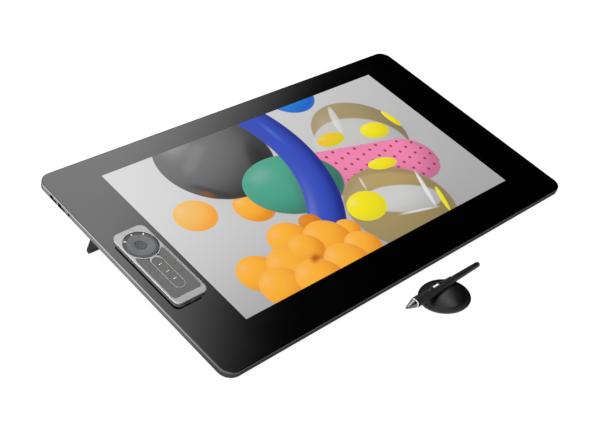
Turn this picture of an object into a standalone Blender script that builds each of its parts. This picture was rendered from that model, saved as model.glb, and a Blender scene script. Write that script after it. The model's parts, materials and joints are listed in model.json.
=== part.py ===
"""Pen drawing tablet: a 24-inch class pen display that leans back on two fold-out legs,
with its key remote on the left bezel, and its pen lying in a round pen stand.

Numbers are millimetres and the helpers turn them into metres. The tablet is modelled lying
flat in its own frame, the slab: x to the right, y to the back, z out of the glass, with the
origin on the glass at the middle of the screen. An empty then leans that frame back.
"""

import math

import bpy
import bmesh

MM = 0.001
GAP = 0.3

# --- the lean -------------------------------------------------------------------------
TILT = math.radians(18.2)
FOOT_LINE = (-200.0, -16.0)     # slab (y, z) of a point on the desk, under the front edge

# --- the slab's outline ---------------------------------------------------------------
HALF_WIDTH = 337.0
FRONT = -203.2
BACK = 184.2
CORNER = 18.0
RIM = 1.1                       # metal edge left showing around the glass

# --- the stack, from the glass down ---------------------------------------------------
GLASS = (-1.8, 0.0)
LCD = (-4.1, -2.1)
LIGHT_GUIDE = (-6.8, -4.4)
TRAY = (-8.0, -4.4)
TRAY_FLOOR = 0.9
SENSOR = (-9.1, -8.3)
CHASSIS = (-11.0, -9.4)
SCREEN_HALF = (264.0, 150.0)
LIGHT_GUIDE_HALF = (265.0, 151.0)
WELL_HALF = (266.5, 152.5)      # the hollow of the tray
TRAY_HALF = (268.0, 154.0)
SENSOR_HALF = (280.0, 165.0)
CHASSIS_X = (-318.0, 318.0)
CHASSIS_Y = (-182.0, 168.0)
CHASSIS_CORNER = 10.0

# --- the side frame -------------------------------------------------------------------
FRAME = (-9.7, -0.3)
FRAME_LEDGE = -2.1
FRAME_BAND = 9.0
PORT_Z = -5.5
USB_SLOT = (14.0, 5.6)
USB_Y = (144.0, 126.0)
JACK_Y = 109.8
JACK_RADIUS = 1.9
PORT_DEPTH = 14.0
PORT_WALL = (0.7, 0.6)          # beside and above the socket
TONGUE = (5.6, 0.9)             # half width and half height of the tongue in the socket
BUTTON_X = 262.0
BUTTON_SIZE = (12.0, 3.2)
BUTTON_PROUD = 0.8

# --- the rear cover -------------------------------------------------------------------
COVER_TOP = -10.0
COVER_BOTTOM = -30.0
COVER_WALL = 2.0
COVER_INSET = 1.0
SLOPE_SIDE = 36.0               # how far the sides draw in from the rim to the flat bottom
SLOPE_BACK = 33.2
BAY = ((-62.0, 62.0), (100.0, 190.0), -17.0)
MOUNT_Y = 20.0
MOUNT_HALF = 58.0
MOUNT_HOLE_SPACING = 100.0
MOUNT_RECESS = 3.0
MOUNT_HOLE_RADIUS = 2.1
BAY_WINDOW = ((-50.0, 50.0), (96.0, 102.0), (-24.6, -18.2))
VENT_COUNT = 8
VENT_PITCH = 7.0
VENT_SIZE = (52.0, 3.0)
SCREW_SPOTS = ((-285.0, -116.0), (285.0, -116.0), (-285.0, 138.0), (285.0, 138.0))
POST_RADIUS = 5.0
HEAD_HOLE = (3.3, -27.3)        # radius, and the height of its floor
SHANK_HOLE_RADIUS = 1.8
SCREW_HEAD = (3.0, (-29.8, -27.6))
SCREW_SHANK = (1.5, -9.6)
HEX_SOCKET = (1.4, -28.5)

# --- the legs -------------------------------------------------------------------------
HINGE = (118.0, -24.0)          # slab (y, z) of both hinge pins
LEG_OUTER_X = 277.0
LEG_WIDTH = 60.0
LEG_THICK = 7.0
LEG_PLATE = 95.0
PAD_CENTRE = 99.7
PAD_RADIUS = 4.0
KNUCKLE_RADIUS = 4.3
PIN_RADIUS = 2.0
LEG_POCKET = ((11.0, 126.0), -19.2)
LEG_SIDE_GAP = 1.0
FOOT_X = 230.0                  # the rubber strips under the front edge
FOOT_HALF = 48.0
FOOT_Y = (6.0, 19.0)

# --- inside the cover -----------------------------------------------------------------
FAN_CENTRE = (160.0, -5.0)
FAN_HALF = 34.0
FAN_BORE = 29.0
FAN_Z = (-26.0, -13.6)
FAN_ROOF = 1.5
FAN_MOUTH_HALF = 24.0
HUB_RADIUS = 11.0
BLADE_COUNT = 9
BLADE_REACH = (9.0, 27.0)
BLADE_THICK = 1.4
BOARD = ((-112.0, -80.0), (112.0, -80.0), (112.0, 70.0), (60.0, 70.0), (60.0, 82.0), (-112.0, 82.0))
BOARD_Z = (-14.8, -13.2)
HEAT_SINK_X = (124.0, 204.0)
HEAT_SINK_BACK = 76.0
HEAT_SINK_Z = (-24.0, -13.6)
HEAT_SINK_SPINE = 4.0
FIN_COUNT = 10
FIN_PITCH = 4.2
FIN_THICK = 1.2
BANK = ((-52.0, 52.0), (84.0, 97.7), (-25.4, -16.9))
SOCKETS = ((-38.0, 10.0), (-18.0, 9.2), (2.0, 15.0), (27.0, 16.0))     # middle x and width
SOCKET_Z = (-23.8, -18.8)
SOCKET_FLOOR = 87.0

# --- the remote, from its own middle on the glass -------------------------------------
REMOTE_CENTRE = (-302.5, -28.2)
REMOTE_YAW = math.radians(0.5)
REMOTE_HALF = (25.0, 66.4)
REMOTE_CORNER = 9.5
REMOTE_FRAME = (10.8, 12.5)
TUB = (0.3, 10.5)
TUB_INSET = (3.2, 0.3)          # at the bottom and at the top
TUB_WALL = 1.6
CHARGE_HOLE = ((-4.0, 4.0), (-69.0, -61.0), (6.0, 8.8))
REMOTE_BOARD = ((-20.5, 20.5), (-59.0, 60.0), (7.7, 8.7))
BATTERY = ((-16.0, 16.0), (-46.0, 2.0), (2.3, 7.0))
MAGNET = ((-14.0, 14.0), (14.0, 54.0), (2.3, 4.3))
DIAL_Y = 36.1
DIAL_HOLE = 22.9
DIAL_GUARD = 24.2
RING_PROFILE = (                # radius and height of the touch ring, all the way round
    (22.2, 12.4), (22.2, 10.8), (21.4, 10.6), (21.4, 9.5), (7.5, 9.5), (7.5, 11.8),
    (11.0, 12.0), (17.9, 12.4), (18.2, 12.0), (18.6, 12.0), (18.9, 12.4),
)
BUTTON_PROFILE = ((0.0, 11.2), (4.0, 11.4), (7.1, 11.8), (7.1, 9.6), (0.0, 9.6))
PANEL_HALF = 21.8
PANEL_CORNER = 4.5
PANEL_Y = (-56.0, 21.0)
PILL_OUTER = (8.3, (-46.0, 14.0))
PILL_INNER = (7.3, (-45.0, 10.4))
KEY_Z = (10.3, 12.2)
KEY_GAP = 0.35
SIDE_ROWS = (21.0, 4.0, -9.5, -23.5, -37.4)
PILL_ROWS = (11.0, -2.6, -16.5, -30.4, -46.0)
KEY_CUT = (8.0, 16.0)           # the height of a cutter that shapes the keys
THROUGH = (7.0, 17.0)           # the height of a cutter that goes right through one

# --- the pen, along its own axis from the nib -----------------------------------------
PEN_NIB = (-101.9, -67.3, 25.5)     # from the foot line, on the desk
PEN_YAW = math.radians(2.1)
PEN_PITCH = math.radians(1.7)
PEN_LENGTH = 155.5
NIB_PROFILE = ((0.0, 0.35), (0.5, 0.75), (12.0, 0.75))
CONE_PROFILE = ((2.4, 1.7), (15.9, 5.9))
BAND_PROFILE = ((16.2, 6.1), (16.5, 6.35), (18.0, 6.35), (18.3, 6.2))
GRIP_PROFILE = ((18.6, 6.6), (20.0, 7.0), (27.0, 7.0), (42.0, 6.6), (68.0, 6.0), (90.0, 5.5), (96.0, 5.2))
BARREL_PROFILE = ((96.3, 4.7), (99.0, 4.5), (122.0, 4.1), (148.5, 3.5))
TAIL_PROFILE = ((149.2, 3.4), (152.5, 3.1), (154.6, 2.2), (PEN_LENGTH, 0.9))
CONE_BORE = 1.1
BAND_BORE = 4.0
GRIP_BORE = 3.6
BARREL_BORE = 1.5
SWITCH = (46.0, 76.0)
SWITCH_WIDTH = 5.0
SWITCH_FLOOR = 4.2
SWITCH_PIVOT = 5.4
SWITCH_Z = (-0.5, 1.5)

# --- the pen stand --------------------------------------------------------------------
STAND_CENTRE = (-22.0, -65.3)
STAND_RADIUS = 34.0
STAND_TOP = 21.4
STAND_SPLIT = 4.8
STAND_FOOT = 1.5
LID_HOLLOW = ((25.0, STAND_SPLIT), (23.0, 12.0), (0.0, 12.6))
FOOT_RING = (20.0, 31.5)
GROOVE_GAP = 0.45
GROOVE_END = 16.0               # how far the groove runs on behind the pen's grip

PARTS = None
CUTTERS = None


# --- scene and materials --------------------------------------------------------------
def clear_scene():
    """Removes what the file holds, and makes the two collections."""
    global PARTS, CUTTERS
    for obj in list(bpy.data.objects):
        bpy.data.objects.remove(obj, do_unlink=True)
    PARTS = bpy.data.collections.new("pen_drawing_tablet")
    CUTTERS = bpy.data.collections.new("cutters")
    bpy.context.scene.collection.children.link(PARTS)
    bpy.context.scene.collection.children.link(CUTTERS)


def material(name, colour, roughness, metallic=0.0):
    """A Principled material with a plain colour."""
    mat = bpy.data.materials.new(name)
    mat.use_nodes = True
    shader = mat.node_tree.nodes["Principled BSDF"]
    shader.inputs["Base Color"].default_value = (*colour, 1.0)
    shader.inputs["Roughness"].default_value = roughness
    shader.inputs["Metallic"].default_value = metallic
    return mat


def empty(name, location, rotation=(0.0, 0.0, 0.0), parent=None):
    """A frame that parts are parented to. Location in millimetres."""
    obj = bpy.data.objects.new(name, None)
    obj.location = [value * MM for value in location]
    obj.rotation_euler = rotation
    obj.parent = parent
    obj.empty_display_size = 0.02
    PARTS.objects.link(obj)
    return obj


# --- shapes ---------------------------------------------------------------------------
def around(middle, half):
    """The range that reaches half to both sides of the middle."""
    return middle - half, middle + half


def place(name, mesh, parent, location=(0.0, 0.0, 0.0), mat=None):
    """Makes the mesh an object: a part if it has a material, a cutter if it has none."""
    obj = bpy.data.objects.new(name, mesh)
    obj.parent = parent
    obj.location = [value * MM for value in location]
    if mat is None:
        obj.hide_render = True
        obj.display_type = "WIRE"
        CUTTERS.objects.link(obj)
    else:
        mesh.materials.append(mat)
        PARTS.objects.link(obj)
    return obj


def rounded_rect(x_range, y_range, radius, steps=5):
    """The points of a rectangle with round corners, anticlockwise."""
    points = []
    for corner in range(4):
        centre_x = (x_range[1] - radius, x_range[0] + radius)[corner in (1, 2)]
        centre_y = (y_range[1] - radius, y_range[0] + radius)[corner in (2, 3)]
        for step in range(steps + 1):
            angle = math.radians(90.0 * (corner + step / steps))
            x = centre_x + radius * math.cos(angle)
            points.append((x, centre_y + radius * math.sin(angle)))
    return points


def circle(centre, radius, steps=24):
    """The points of a circle, anticlockwise."""
    angles = [math.tau * step / steps for step in range(steps)]
    return [(centre[0] + radius * math.cos(a), centre[1] + radius * math.sin(a)) for a in angles]


def slab_outline(inset):
    """The slab's outline, drawn in by inset."""
    x_range = around(0.0, HALF_WIDTH - inset)
    return rounded_rect(x_range, (FRONT + inset, BACK - inset), CORNER - inset, 8)


def outline_mesh(name, loops, z_range):
    """A flat outline with its holes, as a closed mesh between two heights."""
    curve = bpy.data.curves.new(name, "CURVE")
    curve.dimensions = "2D"
    curve.fill_mode = "BOTH"
    curve.extrude = (z_range[1] - z_range[0]) / 2 * MM
    for loop in loops:
        spline = curve.splines.new("POLY")
        spline.points.add(len(loop) - 1)
        for point, (x, y) in zip(spline.points, loop):
            point.co = (x * MM, y * MM, 0.0, 1.0)
        spline.use_cyclic_u = True
    guide = bpy.data.objects.new(name, curve)
    CUTTERS.objects.link(guide)
    graph = bpy.context.evaluated_depsgraph_get()
    mesh = bpy.data.meshes.new_from_object(guide.evaluated_get(graph))
    bpy.data.objects.remove(guide, do_unlink=True)
    bpy.data.curves.remove(curve)
    bm = bmesh.new()
    bm.from_mesh(mesh)
    bmesh.ops.remove_doubles(bm, verts=bm.verts, dist=0.00001)
    bmesh.ops.translate(bm, verts=bm.verts, vec=(0.0, 0.0, (z_range[0] + z_range[1]) / 2 * MM))
    bm.to_mesh(mesh)
    bm.free()
    mesh.name = name
    return mesh


def plate(name, loops, z_range, parent, mat=None, location=(0.0, 0.0, 0.0)):
    """An object with a flat outline."""
    return place(name, outline_mesh(name, loops, z_range), parent, location, mat)


def block(name, x_range, y_range, z_range, parent, mat=None, location=(0.0, 0.0, 0.0)):
    """A box between two corners."""
    bm = bmesh.new()
    bmesh.ops.create_cube(bm, size=1.0)
    ranges = (x_range, y_range, z_range)
    bmesh.ops.scale(bm, verts=bm.verts, vec=[(high - low) * MM for low, high in ranges])
    bmesh.ops.translate(bm, verts=bm.verts, vec=[(high + low) / 2 * MM for low, high in ranges])
    mesh = bpy.data.meshes.new(name)
    bm.to_mesh(mesh)
    bm.free()
    return place(name, mesh, parent, location, mat)


def rod(name, radius, z_range, parent, mat=None, location=(0.0, 0.0, 0.0), axis="Z", sides=24):
    """A round bar along z, or laid along x, from its location."""
    bm = bmesh.new()
    length = z_range[1] - z_range[0]
    bmesh.ops.create_cone(
        bm, cap_ends=True, segments=sides, radius1=radius * MM, radius2=radius * MM, depth=length * MM
    )
    bmesh.ops.translate(bm, verts=bm.verts, vec=(0.0, 0.0, (z_range[0] + z_range[1]) / 2 * MM))
    mesh = bpy.data.meshes.new(name)
    bm.to_mesh(mesh)
    bm.free()
    mesh.shade_smooth()
    mesh.set_sharp_from_angle(angle=math.radians(35.0))
    obj = place(name, mesh, parent, location, mat)
    if axis == "X":
        obj.rotation_euler = (0.0, math.radians(90.0), 0.0)
    return obj


def turned(name, profile, parent, mat=None, location=(0.0, 0.0, 0.0), closed=False, along_x=False, sides=32):
    """A turned solid. The profile is (radius, height), from the top down its outer side."""
    mesh = bpy.data.meshes.new(name)
    count = len(profile)
    edges = [(i, i + 1) for i in range(count - 1)]
    if closed:
        edges.append((count - 1, 0))
    mesh.from_pydata([(r * MM, 0.0, z * MM) for r, z in profile], edges, [])
    obj = place(name, mesh, parent, location, mat)
    screw = obj.modifiers.new("turn", "SCREW")
    screw.steps = sides
    screw.render_steps = sides
    screw.use_merge_vertices = True
    screw.merge_threshold = 0.00001
    if along_x:
        obj.rotation_euler = (0.0, math.radians(90.0), 0.0)
    return obj


def loft(name, lower, upper, z_range, parent, mat=None):
    """A solid between two outlines with the same number of points, at two heights."""
    bm = bmesh.new()
    rings = []
    for outline, height in ((lower, z_range[0]), (upper, z_range[1])):
        rings.append([bm.verts.new((x * MM, y * MM, height * MM)) for x, y in outline])
    bm.faces.new(list(reversed(rings[0])))
    bm.faces.new(rings[1])
    count = len(lower)
    for i in range(count):
        j = (i + 1) % count
        bm.faces.new((rings[0][i], rings[0][j], rings[1][j], rings[1][i]))
    mesh = bpy.data.meshes.new(name)
    bm.to_mesh(mesh)
    bm.free()
    return place(name, mesh, parent, mat=mat)


def combine(obj, other, operation="DIFFERENCE"):
    """Adds a Boolean of the other object to this one."""
    boolean = obj.modifiers.new(operation.lower(), "BOOLEAN")
    boolean.operation = operation
    boolean.solver = "EXACT"
    boolean.object = other


# --- the display stack ----------------------------------------------------------------
def half_box(half_x, half_y):
    """The x and y ranges of a box about the screen's middle."""
    return (-half_x, half_x), (-half_y, half_y)


def build_display(slab):
    """The glass and the layers behind it."""
    glass = material("cover_glass", (0.004, 0.004, 0.005), 0.08)
    plate("cover_glass", [slab_outline(RIM + GAP)], GLASS, slab, glass)
    lcd = material("lcd_panel", (0.55, 0.56, 0.58), 0.2)
    block("lcd_panel", *half_box(*SCREEN_HALF), LCD, slab, lcd)
    guide = material("light_guide_plate", (0.82, 0.84, 0.85), 0.15)
    block("light_guide_plate", *half_box(*LIGHT_GUIDE_HALF), LIGHT_GUIDE, slab, guide)
    tray = material("backlight_tray", (0.62, 0.62, 0.63), 0.4, 0.9)
    tray_obj = block("backlight_tray", *half_box(*TRAY_HALF), TRAY, slab, tray)
    well = block("tray_well", *half_box(*WELL_HALF), (TRAY[0] + TRAY_FLOOR, 0.0), slab)
    combine(tray_obj, well)
    sensor = material("pen_sensor_board", (0.03, 0.12, 0.05), 0.5)
    block("pen_sensor_board", *half_box(*SENSOR_HALF), SENSOR, slab, sensor)


def build_chassis(slab):
    """The sheet that carries the electronics, with its screw holes."""
    steel = material("chassis_plate", (0.45, 0.45, 0.46), 0.45, 0.9)
    holes = [circle(spot, SHANK_HOLE_RADIUS, 12) for spot in SCREW_SPOTS]
    outline = rounded_rect(CHASSIS_X, CHASSIS_Y, CHASSIS_CORNER)
    plate("chassis_plate", [outline, *holes], CHASSIS, slab, steel)


# --- the side frame and its ports -----------------------------------------------------
def build_side_frame(slab):
    """The metal ring around the slab, with its glass ledge and openings."""
    metal = material("side_frame", (0.32, 0.31, 0.30), 0.38, 0.8)
    frame = plate("side_frame", [slab_outline(0.0), slab_outline(FRAME_BAND)], FRAME, slab, metal)
    combine(frame, plate("glass_seat", [slab_outline(RIM)], (FRAME_LEDGE, 1.0), slab))
    outside = (-HALF_WIDTH - 2.0, -HALF_WIDTH + FRAME_BAND + 2.0)
    for number, y in enumerate(USB_Y, 1):
        y_range, z_range = around(y, USB_SLOT[0] / 2), around(PORT_Z, USB_SLOT[1] / 2)
        combine(frame, block(f"usb_slot_{number}", outside, y_range, z_range, slab))
    combine(frame, rod("jack_hole", JACK_RADIUS, outside, slab, location=(0.0, JACK_Y, PORT_Z), axis="X"))
    x_range = around(BUTTON_X, BUTTON_SIZE[0] / 2 + GAP)
    z_range = around(PORT_Z, BUTTON_SIZE[1] / 2 + GAP)
    combine(frame, block("button_window", x_range, (BACK - FRAME_BAND - 2.0, BACK + 2.0), z_range, slab))


def build_ports(slab):
    """The two socket shells and the round jack behind the left side's openings."""
    steel = material("usb_port", (0.5, 0.5, 0.5), 0.3, 1.0)
    inner = (-HALF_WIDTH + FRAME_BAND + GAP, -HALF_WIDTH + FRAME_BAND + PORT_DEPTH)
    bore = (inner[0] - 2.0, inner[1] - 1.0)
    half_y, half_z = USB_SLOT[0] / 2, USB_SLOT[1] / 2
    for number, y in enumerate(USB_Y, 1):
        port = block(
            f"usb_port_left_{number}", inner, around(y, half_y + PORT_WALL[0]),
            around(PORT_Z, half_z + PORT_WALL[1]), slab, steel
        )
        hollow = block(f"usb_hollow_{number}", bore, around(y, half_y), around(PORT_Z, half_z), slab)
        combine(port, hollow)
        tongue = block(
            f"usb_tongue_{number}", (inner[0] + 2.0, inner[1] - 0.5), around(y, TONGUE[0]),
            around(PORT_Z, TONGUE[1]), slab
        )
        combine(port, tongue, "UNION")
    black = material("audio_jack", (0.02, 0.02, 0.02), 0.5)
    jack = rod("audio_jack", JACK_RADIUS + 1.0, inner, slab, black, (0.0, JACK_Y, PORT_Z), "X")
    combine(jack, rod("jack_bore", JACK_RADIUS, bore, slab, location=(0.0, JACK_Y, PORT_Z), axis="X"))


def build_power_button(slab):
    """The push button in the back edge of the frame, on its own slide."""
    black = material("power_button", (0.03, 0.03, 0.03), 0.35)
    base = empty("power_button_slide", (BUTTON_X, BACK, PORT_Z), parent=slab)
    x_range, z_range = around(0.0, BUTTON_SIZE[0] / 2), around(0.0, BUTTON_SIZE[1] / 2)
    block("power_button", x_range, (-FRAME_BAND, BUTTON_PROUD), z_range, base, black)


# --- the rear cover -------------------------------------------------------------------
def cover_section(height, wall):
    """The cover's outline at a height, drawn in by the wall's thickness."""
    drop = COVER_TOP - height
    full = COVER_TOP - COVER_BOTTOM
    side_angle = math.atan2(full, SLOPE_SIDE)
    back_angle = math.atan2(full, SLOPE_BACK)
    side = HALF_WIDTH - COVER_INSET - drop * SLOPE_SIDE / full - wall / math.sin(side_angle)
    back = BACK - COVER_INSET - drop * SLOPE_BACK / full - wall / math.sin(back_angle)
    front = FRONT + COVER_INSET + drop / math.tan(TILT) + wall / math.sin(TILT)
    return rounded_rect((-side, side), (front, back), CORNER - COVER_INSET - wall, 8)


def leg_x_range(side):
    """The x range of a leg: side is -1 for the left and 1 for the right."""
    return tuple(sorted((side * LEG_OUTER_X, side * (LEG_OUTER_X - LEG_WIDTH))))


def recess(name, x_range, y_range, ceiling, slab, wall=0.0):
    """A box that comes up into the cover's bottom, grown by a wall."""
    x_grown = (x_range[0] - wall, x_range[1] + wall)
    y_grown = (y_range[0] - wall, y_range[1] + wall)
    return block(name, x_grown, y_grown, (COVER_BOTTOM - 2.0, ceiling + wall), slab)


def cover_recesses():
    """Every recess in the cover's bottom: its name, x range, y range and ceiling."""
    found = []
    for side, word in ((-1, "left"), (1, "right")):
        low, high = leg_x_range(side)
        found.append((f"leg_{word}", (low - LEG_SIDE_GAP, high + LEG_SIDE_GAP), *LEG_POCKET))
    found.append(("bay", *BAY))
    mount = around(0.0, MOUNT_HALF + GAP), around(MOUNT_Y, MOUNT_HALF + GAP)
    found.append(("mount", *mount, COVER_BOTTOM + MOUNT_RECESS))
    return found


def cover_cavity(slab):
    """The room inside the cover, around its recess walls and screw posts."""
    floor, above = COVER_BOTTOM + COVER_WALL, COVER_TOP + 0.5
    lower, upper = cover_section(floor, COVER_WALL), cover_section(above, COVER_WALL)
    cavity = loft("cover_cavity", lower, upper, (floor, above), slab)
    for name, x_range, y_range, ceiling in cover_recesses():
        combine(cavity, recess(f"{name}_wall", x_range, y_range, ceiling, slab, COVER_WALL))
    for number, (x, y) in enumerate(SCREW_SPOTS, 1):
        z_range = (COVER_BOTTOM, CHASSIS[0] - GAP)
        combine(cavity, rod(f"screw_post_{number}", POST_RADIUS, z_range, slab, location=(x, y, 0.0)))
    return cavity


def drill_screw_holes(cover, slab):
    """A head hole and a shank hole at each screw."""
    for number, (x, y) in enumerate(SCREW_SPOTS, 1):
        head = (COVER_BOTTOM - 1.0, HEAD_HOLE[1])
        shank = (HEAD_HOLE[1] - 0.7, CHASSIS[0] + 1.0)
        spot = (x, y, 0.0)
        combine(cover, rod(f"head_hole_{number}", HEAD_HOLE[0], head, slab, location=spot))
        combine(cover, rod(f"shank_hole_{number}", SHANK_HOLE_RADIUS, shank, slab, location=spot))


def cut_vents(cover, slab):
    """A row of slots under the fan."""
    x_range = around(FAN_CENTRE[0], VENT_SIZE[0] / 2)
    z_range = (COVER_BOTTOM - 1.0, COVER_BOTTOM + COVER_WALL + 1.0)
    for number in range(VENT_COUNT):
        y = FAN_CENTRE[1] + (number - (VENT_COUNT - 1) / 2) * VENT_PITCH
        combine(cover, block(f"vent_{number}", x_range, around(y, VENT_SIZE[1] / 2), z_range, slab))


def build_rear_cover(slab):
    """The shell that closes the back, with its recesses, screw posts and vents."""
    shell = material("rear_cover", (0.035, 0.035, 0.038), 0.5)
    lower, upper = cover_section(COVER_BOTTOM, 0.0), cover_section(COVER_TOP, 0.0)
    cover = loft("rear_cover", lower, upper, (COVER_BOTTOM, COVER_TOP), slab, shell)
    combine(cover, cover_cavity(slab))
    for name, x_range, y_range, ceiling in cover_recesses():
        combine(cover, recess(f"{name}_recess", x_range, y_range, ceiling, slab))
    drill_screw_holes(cover, slab)
    for side, word in ((-1, "left"), (1, "right")):
        low, high = leg_x_range(side)
        reach = (low - 6.0, high + 6.0)
        pin_hole = rod(f"pin_hole_{word}", PIN_RADIUS + GAP, reach, slab, location=(0.0, *HINGE), axis="X")
        combine(cover, pin_hole)
    combine(cover, block("bay_window", *BAY_WINDOW, slab))
    cut_vents(cover, slab)


def build_cover_screws(slab):
    """Four screws through the cover's posts into the chassis."""
    steel = material("cover_screw", (0.25, 0.25, 0.26), 0.35, 1.0)
    shank, tip = SCREW_SHANK
    head, (bottom, seat) = SCREW_HEAD
    profile = ((0.0, tip), (shank, tip), (shank, seat), (head, seat), (head, bottom), (0.0, bottom))
    for number, (x, y) in enumerate(SCREW_SPOTS, 1):
        spot = (x, y, 0.0)
        screw = turned(f"cover_screw_{number}", profile, slab, steel, spot, sides=16)
        z_range = (bottom - 1.0, HEX_SOCKET[1])
        combine(screw, rod(f"hex_socket_{number}", HEX_SOCKET[0], z_range, slab, location=spot, sides=6))


def build_mount_plate(slab):
    """The square plate that a stand or arm bolts to, with four holes."""
    steel = material("stand_mount_plate", (0.10, 0.10, 0.11), 0.4, 0.8)
    half = MOUNT_HOLE_SPACING / 2
    outline = rounded_rect(around(0.0, MOUNT_HALF), around(0.0, MOUNT_HALF), 3.0, 3)
    spots = [(x, y) for x in (-half, half) for y in (-half, half)]
    holes = [circle(spot, MOUNT_HOLE_RADIUS, 16) for spot in spots]
    z_range = (COVER_BOTTOM + 0.1, COVER_BOTTOM + MOUNT_RECESS - GAP)
    plate("stand_mount_plate", [outline, *holes], z_range, slab, steel, (0.0, MOUNT_Y, 0.0))


# --- inside the cover -----------------------------------------------------------------
def build_heat_sink(slab):
    """Fins that stand off a spine, one behind the other."""
    metal = material("heat_sink", (0.6, 0.6, 0.62), 0.35, 1.0)
    left, right = HEAT_SINK_X
    outline = [(left, HEAT_SINK_BACK)]
    for fin in range(FIN_COUNT):
        back = HEAT_SINK_BACK - fin * FIN_PITCH
        front = back - FIN_THICK
        outline += [(right, back), (right, front)]
        if fin < FIN_COUNT - 1:
            outline += [(left + HEAT_SINK_SPINE, front), (left + HEAT_SINK_SPINE, back - FIN_PITCH)]
    outline.append((left, front))
    plate("heat_sink", [outline], HEAT_SINK_Z, slab, metal)


def build_electronics(slab):
    """The main board, and the row of sockets in the rear bay."""
    green = material("main_board", (0.02, 0.14, 0.06), 0.45)
    plate("main_board", [BOARD], BOARD_Z, slab, green)
    black = material("connector_bank", (0.05, 0.05, 0.05), 0.5)
    bank = block("connector_bank", *BANK, slab, black)
    for number, (x, width) in enumerate(SOCKETS, 1):
        depth = (SOCKET_FLOOR, BANK[1][1] + 1.0)
        combine(bank, block(f"socket_{number}", around(x, width / 2), depth, SOCKET_Z, slab))


def build_fan_housing(slab):
    """The blower's square housing, with its round bore and its mouth."""
    black = material("fan_housing", (0.03, 0.03, 0.03), 0.5)
    x, y = FAN_CENTRE
    outline = rounded_rect(around(x, FAN_HALF), around(y, FAN_HALF), 5.0, 3)
    housing = plate("fan_housing", [outline], FAN_Z, slab, black)
    depth = (FAN_Z[0] - 1.0, FAN_Z[1] - FAN_ROOF)
    combine(housing, rod("fan_bore", FAN_BORE, depth, slab, location=(x, y, 0.0), sides=40))
    combine(housing, block("fan_mouth", around(x, FAN_MOUTH_HALF), (y, y + FAN_HALF + 2.0), depth, slab))


def build_fan_rotor(slab):
    """The hub with its blades, on its own axis."""
    grey = material("fan_rotor", (0.06, 0.06, 0.065), 0.45)
    spin = empty("fan_spin", (*FAN_CENTRE, 0.0), parent=slab)
    bottom, top = FAN_Z[0] + 1.0, FAN_Z[1] - FAN_ROOF - 0.7
    hub = rod("fan_rotor", HUB_RADIUS, (bottom, top), spin, grey, sides=28)
    for number in range(BLADE_COUNT):
        z_range = (bottom + 0.5, top - 0.8)
        blade = block(f"blade_{number}", BLADE_REACH, around(0.0, BLADE_THICK / 2), z_range, spin)
        blade.rotation_euler = (0.0, 0.0, math.tau * number / BLADE_COUNT)
        combine(hub, blade, "UNION")


# --- legs and feet --------------------------------------------------------------------
def leg_opening():
    """How far a leg turns from lying in its recess to standing on the desk."""
    sin_t, cos_t = math.sin(TILT), math.cos(TILT)
    along, across = HINGE[0] - FOOT_LINE[0], HINGE[1] - FOOT_LINE[1]
    height = along * sin_t + across * cos_t
    lean = math.acos((height - PAD_RADIUS) / PAD_CENTRE)
    return math.radians(90.0) + lean - TILT


def build_legs(slab):
    """Two legs, each with its hinge pin and rubber end, turned to stand on the desk."""
    dark = material("leg", (0.03, 0.03, 0.032), 0.4)
    steel = material("hinge_pin", (0.5, 0.5, 0.5), 0.3, 1.0)
    rubber = material("leg_pad", (0.02, 0.02, 0.02), 0.8)
    for side, word in ((-1, "left"), (1, "right")):
        low, high = leg_x_range(side)
        hinge = empty(f"leg_hinge_{word}", (0.0, *HINGE), (leg_opening(), 0.0, 0.0), slab)
        leg = block(f"leg_{word}", (low, high), (-LEG_PLATE, 0.0), around(0.0, LEG_THICK / 2), hinge, dark)
        combine(leg, rod(f"knuckle_{word}", KNUCKLE_RADIUS, (low, high), hinge, axis="X"), "UNION")
        combine(leg, rod(f"leg_bore_{word}", PIN_RADIUS + 0.1, (low - 2.0, high + 2.0), hinge, axis="X"))
        rod(f"hinge_pin_{word}", PIN_RADIUS, (low - 4.0, high + 4.0), slab, steel, (0.0, *HINGE), "X")
        y_range = (-PAD_CENTRE, -LEG_PLATE - GAP)
        pad = block(f"leg_pad_{word}", (low, high), y_range, (-PAD_RADIUS, PAD_RADIUS), hinge, rubber)
        spot = (0.0, -PAD_CENTRE, 0.0)
        tip = rod(f"pad_tip_{word}", PAD_RADIUS, (low, high), hinge, location=spot, axis="X")
        combine(pad, tip, "UNION")


def build_front_feet(desk):
    """Two rubber strips between the desk and the cover's sloping front."""
    rubber = material("front_foot", (0.02, 0.02, 0.02), 0.85)
    front_slope = (FRONT + COVER_INSET - FOOT_LINE[0], COVER_TOP - FOOT_LINE[1])
    thickness = front_slope[0] * math.sin(TILT) + front_slope[1] * math.cos(TILT) - GAP
    for x, word in ((-FOOT_X, "left"), (FOOT_X, "right")):
        outline = rounded_rect(around(x, FOOT_HALF), FOOT_Y, 5.5)
        plate(f"front_foot_{word}", [outline], (0.0, thickness), desk, rubber)


# --- the remote -----------------------------------------------------------------------
def remote_outline(inset):
    """The remote's outline, drawn in by inset."""
    half_x, half_y = REMOTE_HALF[0] - inset, REMOTE_HALF[1] - inset
    return rounded_rect(around(0.0, half_x), around(0.0, half_y), REMOTE_CORNER - inset * 0.8)


def pill(half_width, y_range, grow):
    """A long rounded outline, grown by an amount."""
    half = half_width + grow
    y_grown = (y_range[0] - grow, y_range[1] + grow)
    return rounded_rect(around(0.0, half), y_grown, half - 0.05, 7)


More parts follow.
